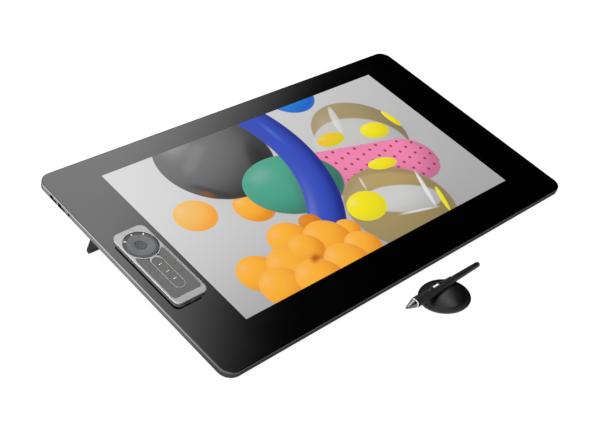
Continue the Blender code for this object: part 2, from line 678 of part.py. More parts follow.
def key_shape(name, remote, gap):
    """The space of the keys beside and below the pill, drawn in by a gap."""
    y_range = (PANEL_Y[0] + gap, PANEL_Y[1] - gap)
    outline = rounded_rect(around(0.0, PANEL_HALF - gap), y_range, PANEL_CORNER)
    space = plate(name, [outline], KEY_CUT, remote)
    spot = (0.0, DIAL_Y, 0.0)
    combine(space, rod(f"{name}_guard", DIAL_GUARD + gap, THROUGH, remote, location=spot, sides=64))
    combine(space, plate(f"{name}_pill", [pill(*PILL_OUTER, gap)], THROUGH, remote))
    return space


def build_remote_shell(remote):
    """The tub, the charging hole in its front end, and the metal top frame."""
    dark = material("remote_base", (0.03, 0.03, 0.032), 0.45)
    lower, upper = [remote_outline(inset) for inset in TUB_INSET]
    tub = loft("remote_base", lower, upper, TUB, remote, dark)
    lower, upper = [remote_outline(inset + TUB_WALL) for inset in TUB_INSET]
    combine(tub, loft("tub_hollow", lower, upper, (TUB[0] + TUB_WALL, TUB[1] + 0.2), remote))
    combine(tub, block("charge_hole", *CHARGE_HOLE, remote))
    silver = material("remote_frame", (0.55, 0.54, 0.55), 0.35, 0.7)
    top = plate("remote_frame", [remote_outline(0.0)], REMOTE_FRAME, remote, silver)
    spot = (0.0, DIAL_Y, 0.0)
    combine(top, rod("dial_hole", DIAL_HOLE, THROUGH, remote, location=spot, sides=64))
    combine(top, key_shape("key_space", remote, 0.0))
    combine(top, plate("pill_hole", [pill(*PILL_INNER, 0.0)], THROUGH, remote))


def build_remote_inside(remote):
    """The board, the battery under the keys and the magnet under the dial."""
    green = material("remote_board", (0.02, 0.14, 0.06), 0.45)
    x_range, y_range, z_range = REMOTE_BOARD
    plate("remote_board", [rounded_rect(x_range, y_range, 6.0, 3)], z_range, remote, green)
    block("remote_battery", *BATTERY, remote, material("remote_battery", (0.30, 0.31, 0.33), 0.4))
    block("remote_magnet", *MAGNET, remote, material("remote_magnet", (0.35, 0.35, 0.36), 0.35, 1.0))


def build_remote_dial(remote):
    """The touch ring, fixed, and the round button in its middle."""
    spot = (0.0, DIAL_Y, 0.0)
    grey = material("remote_touch_ring", (0.10, 0.10, 0.105), 0.4)
    turned("remote_touch_ring", RING_PROFILE, remote, grey, spot, closed=True, sides=48)
    dark = material("remote_center_button", (0.07, 0.07, 0.075), 0.45)
    seat = empty("center_button_slide", spot, parent=remote)
    turned("remote_center_button", BUTTON_PROFILE, seat, dark, sides=28)


def build_remote_keys(remote):
    """Four keys in each side column, four in the pill, and one below."""
    grey = material("remote_key", (0.13, 0.125, 0.125), 0.5)
    outer = key_shape("key_outer", remote, KEY_GAP)
    inner = plate("key_inner", [pill(*PILL_INNER, -KEY_GAP)], KEY_CUT, remote)
    columns = (
        ("left", (-PANEL_HALF, -PILL_OUTER[0]), SIDE_ROWS, outer),
        ("right", (PILL_OUTER[0], PANEL_HALF), SIDE_ROWS, outer),
        ("pill", (-PILL_INNER[0], PILL_INNER[0]), PILL_ROWS, inner),
        ("bottom", (-PANEL_HALF, PANEL_HALF), (SIDE_ROWS[-1], PANEL_Y[0]), outer),
    )
    for word, x_range, rows, space in columns:
        for number, (high, low) in enumerate(zip(rows, rows[1:]), 1):
            name = f"{word}_key" if word == "bottom" else f"{word}_key_{number}"
            y_range = (low + KEY_GAP / 2, high - KEY_GAP / 2)
            combine(block(name, x_range, y_range, KEY_Z, remote, grey), space, "INTERSECT")


def build_remote(slab):
    """The key remote, held by magnets on the left bezel."""
    remote = empty("remote_lift", (*REMOTE_CENTRE, 0.0), (0.0, 0.0, REMOTE_YAW), slab)
    build_remote_shell(remote)
    build_remote_inside(remote)
    build_remote_dial(remote)
    build_remote_keys(remote)


# --- the pen and its stand ------------------------------------------------------------
def pen_piece(name, outer, bore, pen, mat):
    """A turned piece of the pen: outer is (place, radius) from the nib's end back."""
    first, last = outer[0][0], outer[-1][0]
    profile = [(radius, spot) for spot, radius in reversed(outer)]
    if bore > 0.0:
        profile += [(bore, first), (bore, last)]
        return turned(name, profile, pen, mat, closed=True, along_x=True, sides=24)
    profile = [(0.0, last), *profile, (0.0, first)]
    return turned(name, profile, pen, mat, along_x=True, sides=24)


def build_pen(pen):
    """Nib, cone, ring, grip with its side switch, barrel and tail button."""
    pen_piece("pen_nib", NIB_PROFILE, 0.0, pen, material("pen_nib", (0.02, 0.02, 0.02), 0.5))
    pen_piece("pen_cone", CONE_PROFILE, CONE_BORE, pen, material("pen_cone", (0.02, 0.02, 0.02), 0.2))
    pen_piece("pen_ring", BAND_PROFILE, BAND_BORE, pen, material("pen_ring", (0.8, 0.8, 0.8), 0.15, 1.0))
    grip = pen_piece("pen_grip", GRIP_PROFILE, GRIP_BORE, pen, material("pen_grip", (0.03, 0.03, 0.03), 0.6))
    shell = material("pen_barrel", (0.012, 0.012, 0.012), 0.45)
    pen_piece("pen_barrel", BARREL_PROFILE, BARREL_BORE, pen, shell)
    tail = material("pen_tail_button", (0.015, 0.015, 0.015), 0.4)
    pen_piece("pen_tail_button", TAIL_PROFILE, 0.0, pen, tail)
    room_x, room_y = (SWITCH[0] - GAP, SWITCH[1] + GAP), around(0.0, SWITCH_WIDTH / 2 + GAP)
    combine(grip, block("switch_room", room_x, room_y, (SWITCH_FLOOR, 9.0), pen))
    rocker = empty("side_switch_pivot", (sum(SWITCH) / 2, 0.0, SWITCH_PIVOT), parent=pen)
    x_range, y_range = around(0.0, (SWITCH[1] - SWITCH[0]) / 2), around(0.0, SWITCH_WIDTH / 2)
    gloss = material("pen_side_switch", (0.05, 0.05, 0.05), 0.3)
    switch = block("pen_side_switch", x_range, y_range, SWITCH_Z, rocker, gloss)
    switch.modifiers.new("soft_edges", "BEVEL").width = 0.4 * MM


def cut_pen_groove(lid, pen):
    """The groove that the pen lies in, and its open mouth in front of the pen's middle."""
    grown = [(radius + GROOVE_GAP, spot) for spot, radius in reversed(GRIP_PROFILE)]
    front, end = GRIP_PROFILE[0][0], GRIP_PROFILE[-1][0] + GROOVE_END
    profile = [(0.0, end), (grown[0][0], end), *grown, (0.0, front)]
    combine(lid, turned("pen_groove", profile, pen, along_x=True, sides=32))
    widest = max(radius for radius, spot in grown)
    combine(lid, block("groove_mouth", (30.0, end), around(0.0, widest), (0.0, 12.0), pen))


def build_stand(desk, pen):
    """The round pen stand: a grooved dome that twists off its base, on a rubber ring."""
    spot = (*STAND_CENTRE, 0.0)
    dome = [(0.0, STAND_TOP)]
    for step in range(1, 11):
        angle = math.radians(9.0 * step)
        height = STAND_SPLIT + (STAND_TOP - STAND_SPLIT) * math.cos(angle)
        dome.append((STAND_RADIUS * math.sin(angle), height))
    satin = material("stand_lid", (0.02, 0.02, 0.02), 0.35)
    lid = turned("stand_lid", [*dome, *LID_HOLLOW], desk, satin, spot, sides=56)
    cut_pen_groove(lid, pen)
    rim, bottom = STAND_SPLIT - GAP, STAND_FOOT + GAP
    base = ((0.0, rim), (STAND_RADIUS - 0.2, rim), (STAND_RADIUS - 1.0, bottom), (0.0, bottom))
    turned("stand_base", base, desk, material("stand_base", (0.015, 0.015, 0.015), 0.5), spot, sides=56)
    hole, edge = FOOT_RING
    foot = ((edge, STAND_FOOT), (edge, 0.0), (hole, 0.0), (hole, STAND_FOOT))
    rubber = material("stand_foot", (0.02, 0.02, 0.02), 0.85)
    turned("stand_foot", foot, desk, rubber, spot, closed=True, sides=40)


# --- assembly -------------------------------------------------------------------------
def desk_origin_y():
    """Where the foot line lies, so that the origin is under the middle of the whole set."""
    back = (BACK - FOOT_LINE[0]) * math.cos(TILT) - (FRAME[0] - FOOT_LINE[1]) * math.sin(TILT)
    front = STAND_CENTRE[1] - STAND_RADIUS
    return -(front + back) / 2


def build():
    """Builds every part."""
    clear_scene()
    desk = empty("desk", (0.0, desk_origin_y(), 0.0))
    lift = (
        -FOOT_LINE[0] * math.cos(TILT) + FOOT_LINE[1] * math.sin(TILT),
        -FOOT_LINE[0] * math.sin(TILT) - FOOT_LINE[1] * math.cos(TILT),
    )
    slab = empty("slab", (0.0, *lift), (TILT, 0.0, 0.0), desk)
    build_display(slab)
    build_chassis(slab)
    build_side_frame(slab)
    build_ports(slab)
    build_power_button(slab)
    build_rear_cover(slab)
    build_cover_screws(slab)
    build_mount_plate(slab)
    build_electronics(slab)
    build_heat_sink(slab)
    build_fan_housing(slab)
    build_fan_rotor(slab)
    build_legs(slab)
    build_front_feet(desk)
    build_remote(slab)
    pen = empty("pen_lift", PEN_NIB, (0.0, PEN_PITCH, PEN_YAW), desk)
    build_pen(pen)
    build_stand(desk, pen)


build()
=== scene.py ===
"""The looks of the pen drawing tablet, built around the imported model.

Local numbers are millimetres in the frames of the slab (x right, y back, z out of the glass,
origin at the middle of the screen), the remote (same directions, from its own middle), the pen
(x from the nib to the tail, z up) and its stand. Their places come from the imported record.
"""

import json
import math

import bmesh
import bpy
from mathutils import Matrix, Vector


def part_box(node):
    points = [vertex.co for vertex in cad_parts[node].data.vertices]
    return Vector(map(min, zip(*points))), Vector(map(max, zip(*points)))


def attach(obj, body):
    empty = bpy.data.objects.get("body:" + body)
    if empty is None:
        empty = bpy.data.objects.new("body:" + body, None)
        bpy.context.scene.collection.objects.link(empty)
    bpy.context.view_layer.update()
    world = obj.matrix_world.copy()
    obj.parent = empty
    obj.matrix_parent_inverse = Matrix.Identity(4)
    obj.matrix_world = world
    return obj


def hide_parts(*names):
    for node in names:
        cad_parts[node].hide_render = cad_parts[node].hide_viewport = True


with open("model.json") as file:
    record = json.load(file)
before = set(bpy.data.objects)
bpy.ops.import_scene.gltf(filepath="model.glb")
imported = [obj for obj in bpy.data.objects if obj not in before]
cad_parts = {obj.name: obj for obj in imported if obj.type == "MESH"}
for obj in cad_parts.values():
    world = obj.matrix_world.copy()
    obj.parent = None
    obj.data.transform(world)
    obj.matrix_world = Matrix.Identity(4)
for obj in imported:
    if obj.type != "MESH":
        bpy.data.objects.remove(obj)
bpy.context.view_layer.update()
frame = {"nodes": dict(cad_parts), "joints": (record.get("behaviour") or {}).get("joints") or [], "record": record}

MM = 0.001

# The slab: from its stand face to the screen's middle, the screen, the outline and the openings.
STAND_FACE_TO_SCREEN = (0.0, -20.0, 29.9)
SCREEN_HALF = (261.35, 147.0)
SLAB_HALF = (337.0, 193.7)
SLAB_MIDDLE = (0.0, -9.5)
SLAB_CORNER = 18.0
BAND_BOTTOM = -9.7
BAND_SHOULDER = -2.2    # where the light upper strip of the band ends
BAND_DEPTH = 9.0        # how far the band reaches inwards
PORT_Z = -5.5
USB_Y = (144.0, 126.0)
JACK_Y = 109.8
PORT_BORE = 14.0        # depth of the openings
PORT_LIP = 0.35         # depth of the step around them

# The remote: heights are over the glass.
REMOTE_HALF = (24.6, 66.4)
REMOTE_SHIFT = (0.4, 0.0)
FRAME_MIDDLE = 11.65    # height of the middle of the CAD frame
FRAME_TOP = 12.5
TUB_TOP = 9.4
LEDGE = 12.05           # height of the shallow step around the keys
CUT = (7.0, 17.0)       # height range of cutters through the frame
DIAL_Y = 36.1
DIAL_HOLE = 22.9
DIAL_GUARD = 24.2       # radius of the frame's ring around the dial
DISH_EDGE = 18.4
DISH_STEP = 11.9
PANEL_MIDDLE = (0.0, -17.5)
PILL_OUTER = (8.3, 30.0, 8.25, 14, (0.0, -16.0))
PILL_INNER = (7.3, 27.7, 7.25, 14, (0.0, -17.3))
PILL_MARK_Y = (-2.6, -16.5, -30.4)

# The pen: places are from the nib's tip.
SWITCH_X = 61.0
SWITCH_HINGE_Z = 5.4
SWITCH_HALF = 15.0
SWITCH_WIDTH = 2.5      # half width, and the length of its round ends
SWITCH_CREST = 6.9
GROOVE_HALF = 7.45
GROOVE_END = 112.0

# The pen stand.
DOME_RADIUS = 34.0
DOME_FOOT = 4.8
DOME_RISE = 16.6


# --- frames ---------------------------------------------------------------------------
def joint(name):
    """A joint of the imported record."""
    return next(item for item in frame["joints"] if item["name"] == name)


def mount(name):
    """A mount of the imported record."""
    return next(item for item in frame["record"]["mounts"] if item["name"] == name)


def middle(node):
    """The middle of a CAD node's box."""
    low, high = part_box(node)
    return (low + high) / 2


def local_frame(origin, x_axis, z_axis):
    """A matrix from local directions to the row frame."""
    x_axis, z_axis = Vector(x_axis).normalized(), Vector(z_axis).normalized()
    y_axis = z_axis.cross(x_axis)
    matrix = Matrix((x_axis, y_axis, z_axis)).transposed().to_4x4()
    matrix.translation = origin
    return matrix


def slab_frame():
    """The slab's frame, from the face that a stand bolts to."""
    face = mount("stand_mount_face")
    out = -Vector(face["axis"])
    matrix = local_frame(Vector(face["pos_m"]), (1.0, 0.0, 0.0), out)
    matrix.translation = matrix @ (Vector(STAND_FACE_TO_SCREEN) * MM)
    return matrix


def remote_frame():
    """The remote's frame, on the glass under its middle."""
    up = SLAB.to_3x3() @ Vector((0.0, 0.0, 1.0))
    across = middle("right_key_2") - middle("left_key_2")
    origin = middle("remote_frame") - up * FRAME_MIDDLE * MM
    return local_frame(origin, across - up * across.dot(up), up)


def pen_frame():
    """The pen's frame, from its nib along its axis."""
    rock = joint("side_switch_rock")
    along, across = Vector(joint("nib_press")["axis"]), Vector(rock["axis"])
    matrix = local_frame(Vector(rock["pos_m"]), along, along.cross(across))
    matrix.translation = matrix @ (Vector((-SWITCH_X, 0.0, -SWITCH_HINGE_Z)) * MM)
    return matrix


def stand_frame():
    """The pen stand's frame, on the desk under its middle."""
    spot = joint("stand_twist")["pos_m"]
    return Matrix.Translation((spot[0], spot[1], 0.0))


SLAB = slab_frame()
REMOTE = remote_frame()
PEN = pen_frame()
STAND = stand_frame()
DIAL = REMOTE @ Matrix.Translation((0.0, DIAL_Y * MM, 0.0))
ALONG_X = Matrix.Rotation(math.radians(90.0), 4, "Y")   # local z lies along x


# --- outlines and profiles ------------------------------------------------------------
def rounded(half_x, half_y, radius, steps=8, centre=(0.0, 0.0)):
    """The points of a rectangle with round corners, anticlockwise."""
    points = []
    for corner in range(4):
        sign_x = (1, -1, -1, 1)[corner]
        sign_y = (1, 1, -1, -1)[corner]
        for step in range(steps + 1):
            angle = math.radians(90.0 * (corner + step / steps))
            x = centre[0] + sign_x * (half_x - radius) + radius * math.cos(angle)
            y = centre[1] + sign_y * (half_y - radius) + radius * math.sin(angle)
            points.append((x, y))
    return points


def slab_outline(inset):
    """The slab's outline, drawn in by inset."""
    radius = max(SLAB_CORNER - inset, 1.0)
    return rounded(SLAB_HALF[0] - inset, SLAB_HALF[1] - inset, radius, 20, SLAB_MIDDLE)


def soften(points, closed=False, steps=4):
    """Rounds the corners of a line of (a, b, radius) points."""
    result = []
    count = len(points)
    for i, (a, b, radius) in enumerate(points):
        if radius == 0.0 or (not closed and i in (0, count - 1)):
            result.append((a, b))
            continue
        here = Vector((a, b))
        back = Vector(points[i - 1][:2]) - here
        ahead = Vector(points[(i + 1) % count][:2]) - here
        turn = back.angle(ahead) / 2
        reach = min(radius / math.tan(turn), back.length * 0.48, ahead.length * 0.48)
        start, end = here + back.normalized() * reach, here + ahead.normalized() * reach
        for step in range(steps + 1):
            t = step / steps
            spot = start.lerp(here, t).lerp(here.lerp(end, t), t)
            result.append((spot.x, spot.y))
    return result


def circle(radius, segments):
    """The points of a circle."""
    turns = [math.tau * step / segments for step in range(segments)]
    return [(radius * math.cos(angle), radius * math.sin(angle)) for angle in turns]


# --- making meshes --------------------------------------------------------------------
def ring_of(bm, points, height):
    """A ring of vertices at a height."""
    return [bm.verts.new((x * MM, y * MM, height * MM)) for x, y in points]


def bridge(bm, first, second, index=0):
    """Faces between two rings with the same number of points, or one ring and one point."""
    count = max(len(first), len(second))
    for i in range(count):
        j = (i + 1) % count
        near = [first[k % len(first)] for k in (i, j)]
        far = [second[k % len(second)] for k in (j, i)]
        corners = list(dict.fromkeys(near + far))
        if len(corners) > 2:
            bm.faces.new(corners).material_index = index


def swept(bm, outline, profile, closed=False, top=True):
    """A skin through rings: profile is (inset, height), outline gives the points at an inset."""
    rings = [ring_of(bm, outline(inset), height) for inset, height in profile]
    for first, second in zip(rings, rings[1:]):
        bridge(bm, first, second)
    if closed:
        bridge(bm, rings[-1], rings[0])
        return rings
    bm.faces.new(rings[0])
    if top:
        bm.faces.new(rings[-1])
    return rings


def lathe(bm, profile, segments=96, index=0):
    """Turns a (radius, height) profile about z."""
    rings = []
    for radius, height in profile:
        if radius < 1e-6:
            rings.append([bm.verts.new((0.0, 0.0, height * MM))])
            continue
        rings.append(ring_of(bm, circle(radius, segments), height))
    for first, second in zip(rings, rings[1:]):
        bridge(bm, first, second, index)


def make(name, bm, place, mats=(), sharp=32.0, flip=True):
    """Makes an object of the mesh, in the named materials, shaded smooth up to an angle."""
    if flip:
        bmesh.ops.recalc_face_normals(bm, faces=bm.faces)
    mesh = bpy.data.meshes.new(name)
    bm.to_mesh(mesh)
    bm.free()
    for mat in mats:
        mesh.materials.append(MATERIALS[mat])
    mesh.shade_smooth()
    mesh.set_sharp_from_angle(angle=math.radians(sharp))
    obj = bpy.data.objects.new(name, mesh)
    bpy.context.scene.collection.objects.link(obj)
    obj.matrix_world = place
    return obj


def block(name, low, high, place, mats=()):
    """A box between two corners."""
    bm = bmesh.new()
    made = bmesh.ops.create_cube(bm, size=1.0)["verts"]
    bmesh.ops.scale(bm, verts=made, vec=[(b - a) * MM for a, b in zip(low, high)])
    bmesh.ops.translate(bm, verts=made, vec=[(a + b) / 2 * MM for a, b in zip(low, high)])
    return make(name, bm, place, mats)


def weigh_normals(obj):
    """Keeps the broad faces flat beside their rounded edges."""
    modifier = obj.modifiers.new("weighted", "WEIGHTED_NORMAL")
    modifier.keep_sharp = True
    modifier.weight = 80


def join_frame(obj, body, nodes=()):
    """Hangs a piece on its body and hides the CAD nodes that it stands for."""
    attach(obj, body)
    if nodes:
        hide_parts(*nodes)
    return obj


def carve(obj, cutters, sharp=32.0):
    """Cuts the other objects out of it, and removes them."""
    for cutter in cutters:
        boolean = obj.modifiers.new("cut", "BOOLEAN")
        boolean.operation = "DIFFERENCE"
        boolean.solver = "EXACT"
        boolean.object = cutter
    bpy.context.view_layer.update()
    graph = bpy.context.evaluated_depsgraph_get()
    mesh = bpy.data.meshes.new_from_object(obj.evaluated_get(graph))
    mesh.name = obj.name
    obj.modifiers.clear()
    obj.data = mesh
    mesh.shade_smooth()
    mesh.set_sharp_from_angle(angle=math.radians(sharp))
    for cutter in cutters:
        bpy.data.objects.remove(cutter, do_unlink=True)


def bevel(obj, width, segments=2, angle=35.0):
    """A small round on the sharp edges."""
    modifier = obj.modifiers.new("edges", "BEVEL")
    modifier.width = width * MM
    modifier.segments = segments
    modifier.limit_method = "ANGLE"
    modifier.angle_limit = math.radians(angle)
    modifier.miter_outer = "MITER_ARC"
    modifier.harden_normals = False


# --- materials ------------------------------------------------------------------------
def new_material(name, colour, roughness, metallic=0.0, **more):
    """A Principled material."""
    mat = bpy.data.materials.new(name)
    mat.use_nodes = True
    shader = shader_of(mat)
    shader.inputs["Base Color"].default_value = (*colour, 1.0)
    shader.inputs["Roughness"].default_value = roughness
    shader.inputs["Metallic"].default_value = metallic
    for key, value in more.items():
        shader.inputs[key.replace("_", " ")].default_value = value
    return mat


def shader_of(mat):
    """A material's shader."""
    return mat.node_tree.nodes["Principled BSDF"]


def add(tree, kind, **settings):
    """A node with its settings."""
    node = tree.nodes.new(kind)
    for key, value in settings.items():
        setattr(node, key, value)
    return node


def feed(tree, socket, value):
    """Links a socket or sets a value."""
    if isinstance(value, bpy.types.NodeSocket):
        tree.links.new(value, socket)
    elif value is not None:
        socket.default_value = value


def maths(tree, operation, first, second=None, clamp=False):
    """A Math node's result."""
    node = add(tree, "ShaderNodeMath", operation=operation, use_clamp=clamp)
    feed(tree, node.inputs[0], first)
    feed(tree, node.inputs[1], second)
    return node.outputs[0]


def times(tree, first, second):
    """The product of two values."""
    return maths(tree, "MULTIPLY", first, second)


def split(tree, vector):
    """The three parts of a vector."""
    node = add(tree, "ShaderNodeSeparateXYZ")
    feed(tree, node.inputs[0], vector)
    return node.outputs


def mix_colours(tree, factor, first, second):
    """Two colours mixed by a factor."""
    node = add(tree, "ShaderNodeMix", data_type="RGBA")
    feed(tree, node.inputs["Factor"], factor)
    colours = [socket for socket in node.inputs if socket.type == "RGBA"]
    feed(tree, colours[0], first)
    feed(tree, colours[1], second)
    return [socket for socket in node.outputs if socket.type == "RGBA"][0]


def vector_maths(tree, operation, first, second=None):
    """A Vector Math node's result, a number for a dot product or a length."""
    node = add(tree, "ShaderNodeVectorMath", operation=operation)
    feed(tree, node.inputs[0], first)
    feed(tree, node.inputs[1], second)
    return node.outputs["Value" if operation in ("DOT_PRODUCT", "LENGTH") else "Vector"]


def ramp_between(tree, value, low, high, to_low=0.0, to_high=1.0, smooth=False):
    """A value mapped from one range to another."""
    node = add(tree, "ShaderNodeMapRange", interpolation_type="SMOOTHSTEP" if smooth else "LINEAR")
    for socket, item in zip(node.inputs, (value, low, high, to_low, to_high)):
        feed(tree, socket, item)
    return node.outputs[0]


def noise(tree, scale, detail=4.0, roughness=0.5, stretch=None):
    """A noise in object space. Scale counts features to the metre."""
    coordinates = add(tree, "ShaderNodeTexCoord").outputs["Object"]
    if stretch:
        mapping = add(tree, "ShaderNodeMapping")
        mapping.inputs["Scale"].default_value = stretch
        tree.links.new(coordinates, mapping.inputs["Vector"])
        coordinates = mapping.outputs["Vector"]
    node = add(tree, "ShaderNodeTexNoise")
    feed(tree, node.inputs["Vector"], coordinates)
    node.inputs["Scale"].default_value = scale
    node.inputs["Detail"].default_value = detail
    node.inputs["Roughness"].default_value = roughness
    return node.outputs["Fac"]


def vary_roughness(mat, low, high, scale, detail=3.0, stretch=None):
    """Roughness between two values, in patches."""
    tree = mat.node_tree
    value = ramp_between(tree, noise(tree, scale, detail, 0.6, stretch), 0.3, 0.7, low, high)
    tree.links.new(value, shader_of(mat).inputs["Roughness"])


def vary_colour(mat, low, high, scale, detail=3.0, stretch=None):
    """Base colour between two colours, in patches."""
    tree = mat.node_tree
    factor = ramp_between(tree, noise(tree, scale, detail, 0.6, stretch), 0.3, 0.7)
    mixed = mix_colours(tree, factor, (*low, 1.0), (*high, 1.0))
    tree.links.new(mixed, shader_of(mat).inputs["Base Color"])


def roughen(mat, scale, depth, detail=2.0, stretch=None):
    """Fine relief. Depth in millimetres."""
    tree = mat.node_tree
    bump = add(tree, "ShaderNodeBump")
    bump.inputs["Strength"].default_value = 1.0
    bump.inputs["Distance"].default_value = depth * MM
    tree.links.new(noise(tree, scale, detail, 0.5, stretch), bump.inputs["Height"])
    tree.links.new(bump.outputs["Normal"], shader_of(mat).inputs["Normal"])
    return mat


def grey(value, warm=0.0):
    """A grey, a little warmer or cooler."""
    return (value * (1.0 + warm), value, value * (1.0 - warm))


def moulded(name, value, low, high, grain=1600.0, depth=0.012, warm=0.0):
    """Moulded plastic with a fine spark-eroded grain."""
    mat = new_material(name, grey(value, warm), low)
    vary_colour(mat, grey(value * 0.95, warm), grey(value * 1.05, warm), 60.0)
    vary_roughness(mat, low, high, 90.0)
    return roughen(mat, grain, depth)


def satin_metal(name, value, low, high, warm=0.0, grain=2600.0, depth=0.004):
    """Bead-blasted, anodised metal."""
    mat = new_material(name, grey(value, warm), low, 1.0)
    vary_colour(mat, grey(value * 0.94, warm), grey(value * 1.06, warm), 35.0)
    vary_roughness(mat, low, high, 140.0)
    return roughen(mat, grain, depth)


def brushed_metal(name, value, low, high):
    """Metal with fine lines along x."""
    stretch = (1.0, 30.0, 30.0)
    mat = new_material(name, grey(value), low, 1.0)
    vary_colour(mat, grey(value * 0.9), grey(value * 1.08), 60.0, 4.0, stretch)
    vary_roughness(mat, low, high, 60.0, 4.0, stretch)
    return roughen(mat, 90.0, 0.004, 3.0, stretch)


def board_material(name):
    """Green board with faint tracks."""
    mat = new_material(name, (0.02, 0.15, 0.06), 0.4)
    vary_colour(mat, (0.012, 0.10, 0.04), (0.03, 0.2, 0.09), 260.0, 1.0, (1.0, 0.2, 1.0))
    vary_roughness(mat, 0.3, 0.5, 200.0)
    return roughen(mat, 700.0, 0.02)


MATERIALS = {}
SPECULAR_LEVELS = {
    "leg": 0.12, "tongue": 0.05, "grip": 0.18, "barrel": 0.2, "dial_dark": 0.3, "dial_button": 0.3,
}
EDGE_TINTS = {"band": 0.4, "chamfer": 0.4, "stand": 0.15}


def build_materials():
    """Every material, by name."""
    made = MATERIALS
    glass = new_material("bezel_glass", grey(0.0003), 0.16)
    vary_roughness(glass, 0.09, 0.12, 9.0, 4.0)
    roughen(glass, 1400.0, 0.0004)
    made["glass"] = glass
    made["band"] = satin_metal("band_metal", 0.055, 0.24, 0.3, 0.03)
    made["chamfer"] = satin_metal("band_chamfer", 0.11, 0.2, 0.28, 0.02)
    made["cover"] = moulded("cover_plastic", 0.022, 0.47, 0.53, 1500.0, 0.02)
    made["leg"] = moulded("leg_paint", 0.003, 0.4, 0.52, 2200.0, 0.006)
    made["rubber"] = moulded("rubber", 0.012, 0.7, 0.9, 1200.0, 0.02)
    made["steel"] = brushed_metal("port_steel", 0.5, 0.22, 0.36)
    made["pin_steel"] = brushed_metal("pin_steel", 0.5, 0.2, 0.34)
    made["shell"] = brushed_metal("port_shell", 0.05, 0.3, 0.44)
    made["tongue"] = moulded("port_tongue", 0.03, 0.35, 0.5)
    made["socket"] = moulded("socket_plastic", 0.014, 0.4, 0.55)
    made["jack"] = moulded("jack_plastic", 0.004, 0.5, 0.65)
    made["mount"] = satin_metal("mount_steel", 0.1, 0.36, 0.48)
    made["screw"] = brushed_metal("screw_steel", 0.2, 0.26, 0.4)
    made["button"] = moulded("button_plastic", 0.03, 0.3, 0.42, 2600.0, 0.004)
    made["tub"] = moulded("remote_tub_plastic", 0.036, 0.36, 0.48, 2400.0, 0.005)
    made["silver"] = satin_metal("remote_silver", 0.272, 0.34, 0.44, 0.0)
    made["dial"] = moulded("dial_plastic", 0.085, 0.36, 0.48, 2600.0, 0.003, -0.04)
    made["dial_dark"] = moulded("dial_dark_plastic", 0.062, 0.42, 0.54, 2600.0, 0.003)
    made["dial_button"] = moulded("dial_button_plastic", 0.064, 0.42, 0.54, 2600.0, 0.003, -0.04)
    made["key"] = moulded("key_plastic", 0.08, 0.42, 0.55, 2600.0, 0.004, 0.02)
    # White for the raised bars on the pill keys, and painted glow for the three lit ticks of the touch ring.
    white = new_material("white_paint_and_led_glow", grey(0.8), 0.35)
    vary_colour(white, grey(0.74), grey(0.86), 900.0)
    vary_roughness(white, 0.3, 0.42, 600.0)
    made["mark"] = white
    made["faint_mark"] = moulded("faint_mark", 0.1, 0.35, 0.45, 2600.0, 0.003)
    made["foil"] = brushed_metal("battery_foil", 0.3, 0.35, 0.5)
    made["board"] = board_material("board")
    made["panel"] = moulded("panel_layer", 0.5, 0.3, 0.45)
    made["grip"] = moulded("grip_rubber", 0.008, 0.5, 0.64, 2600.0, 0.012)
    made["gloss"] = moulded("gloss_plastic", 0.008, 0.12, 0.2, 1800.0, 0.0015)
    made["cone"] = satin_metal("dark_chrome", 0.15, 0.16, 0.24)
    made["barrel"] = moulded("barrel_plastic", 0.008, 0.3, 0.42, 2600.0, 0.004)
    made["chrome"] = satin_metal("polished_ring", 0.82, 0.06, 0.14, 0.0, 900.0, 0.001)
    # A pale satin for the middle of the side switch: a painted highlight, standing in for the glint of light on
    # the glossy black rocker.
    made["inlay"] = new_material("pale_inlay", grey(0.85), 0.3, 0.35)
    vary_colour(made["inlay"], grey(0.8), grey(0.9), 700.0)
    vary_roughness(made["inlay"], 0.24, 0.36, 900.0)
    made["nib"] = moulded("nib_plastic", 0.012, 0.4, 0.5)
    made["stand"] = satin_metal("stand_lacquer", 0.032, 0.34, 0.42, 0.0, 1500.0, 0.003)
    made["stand_dark"] = moulded("stand_base_plastic", 0.006, 0.4, 0.52)
    for name, level in SPECULAR_LEVELS.items():
        shader_of(made[name]).inputs["Specular IOR Level"].default_value = level
    for name, level in EDGE_TINTS.items():
        shader_of(made[name]).inputs["Specular Tint"].default_value = (*grey(level), 1.0)
    made["screen"] = screen_material()


# --- the picture on the screen --------------------------------------------------------
SHAPE_INPUTS = (
    ("Under", "NodeSocketColor"), ("Place", "NodeSocketVector"), ("Centre", "NodeSocketVector"),
    ("Angle", "NodeSocketFloat"), ("Straight", "NodeSocketFloat"), ("Half", "NodeSocketVector"),
    ("Light", "NodeSocketVector"), ("Colour", "NodeSocketColor"), ("Shade", "NodeSocketColor"),
    ("Shine", "NodeSocketFloat"), ("Cover", "NodeSocketFloat"), ("Edge", "NodeSocketFloat"),
)
SHAPE_OUTPUTS = (("Colour", "NodeSocketColor"), ("Mask", "NodeSocketFloat"))
LIGHT = Vector((-0.42, 0.58, 0.70)).normalized()    # from the back left, in the picture
SHINE_POWER = 22.0      # how tight the bright spot is
RIM_POWER = 3.0
RIM_SHARE = 0.07
CHAIN_SCALE = 1e-7      # how much of a colour is added to the next shape's place
DOT_SPACING = 8.5       # half the distance between two dots
DOT_EDGE = (1.9, 3.2)
DOT_COLOUR = (0.26, 0.012, 0.05, 1.0)


def open_group(name):
    """A node group with the sockets of a shape."""
    tree = bpy.data.node_groups.new(name, "ShaderNodeTree")
    for in_out, sockets in (("INPUT", SHAPE_INPUTS), ("OUTPUT", SHAPE_OUTPUTS)):
        for label, kind in sockets:
            tree.interface.new_socket(name=label, in_out=in_out, socket_type=kind)
    source = tree.nodes.new("NodeGroupInput").outputs
    return tree, source, tree.nodes.new("NodeGroupOutput").inputs


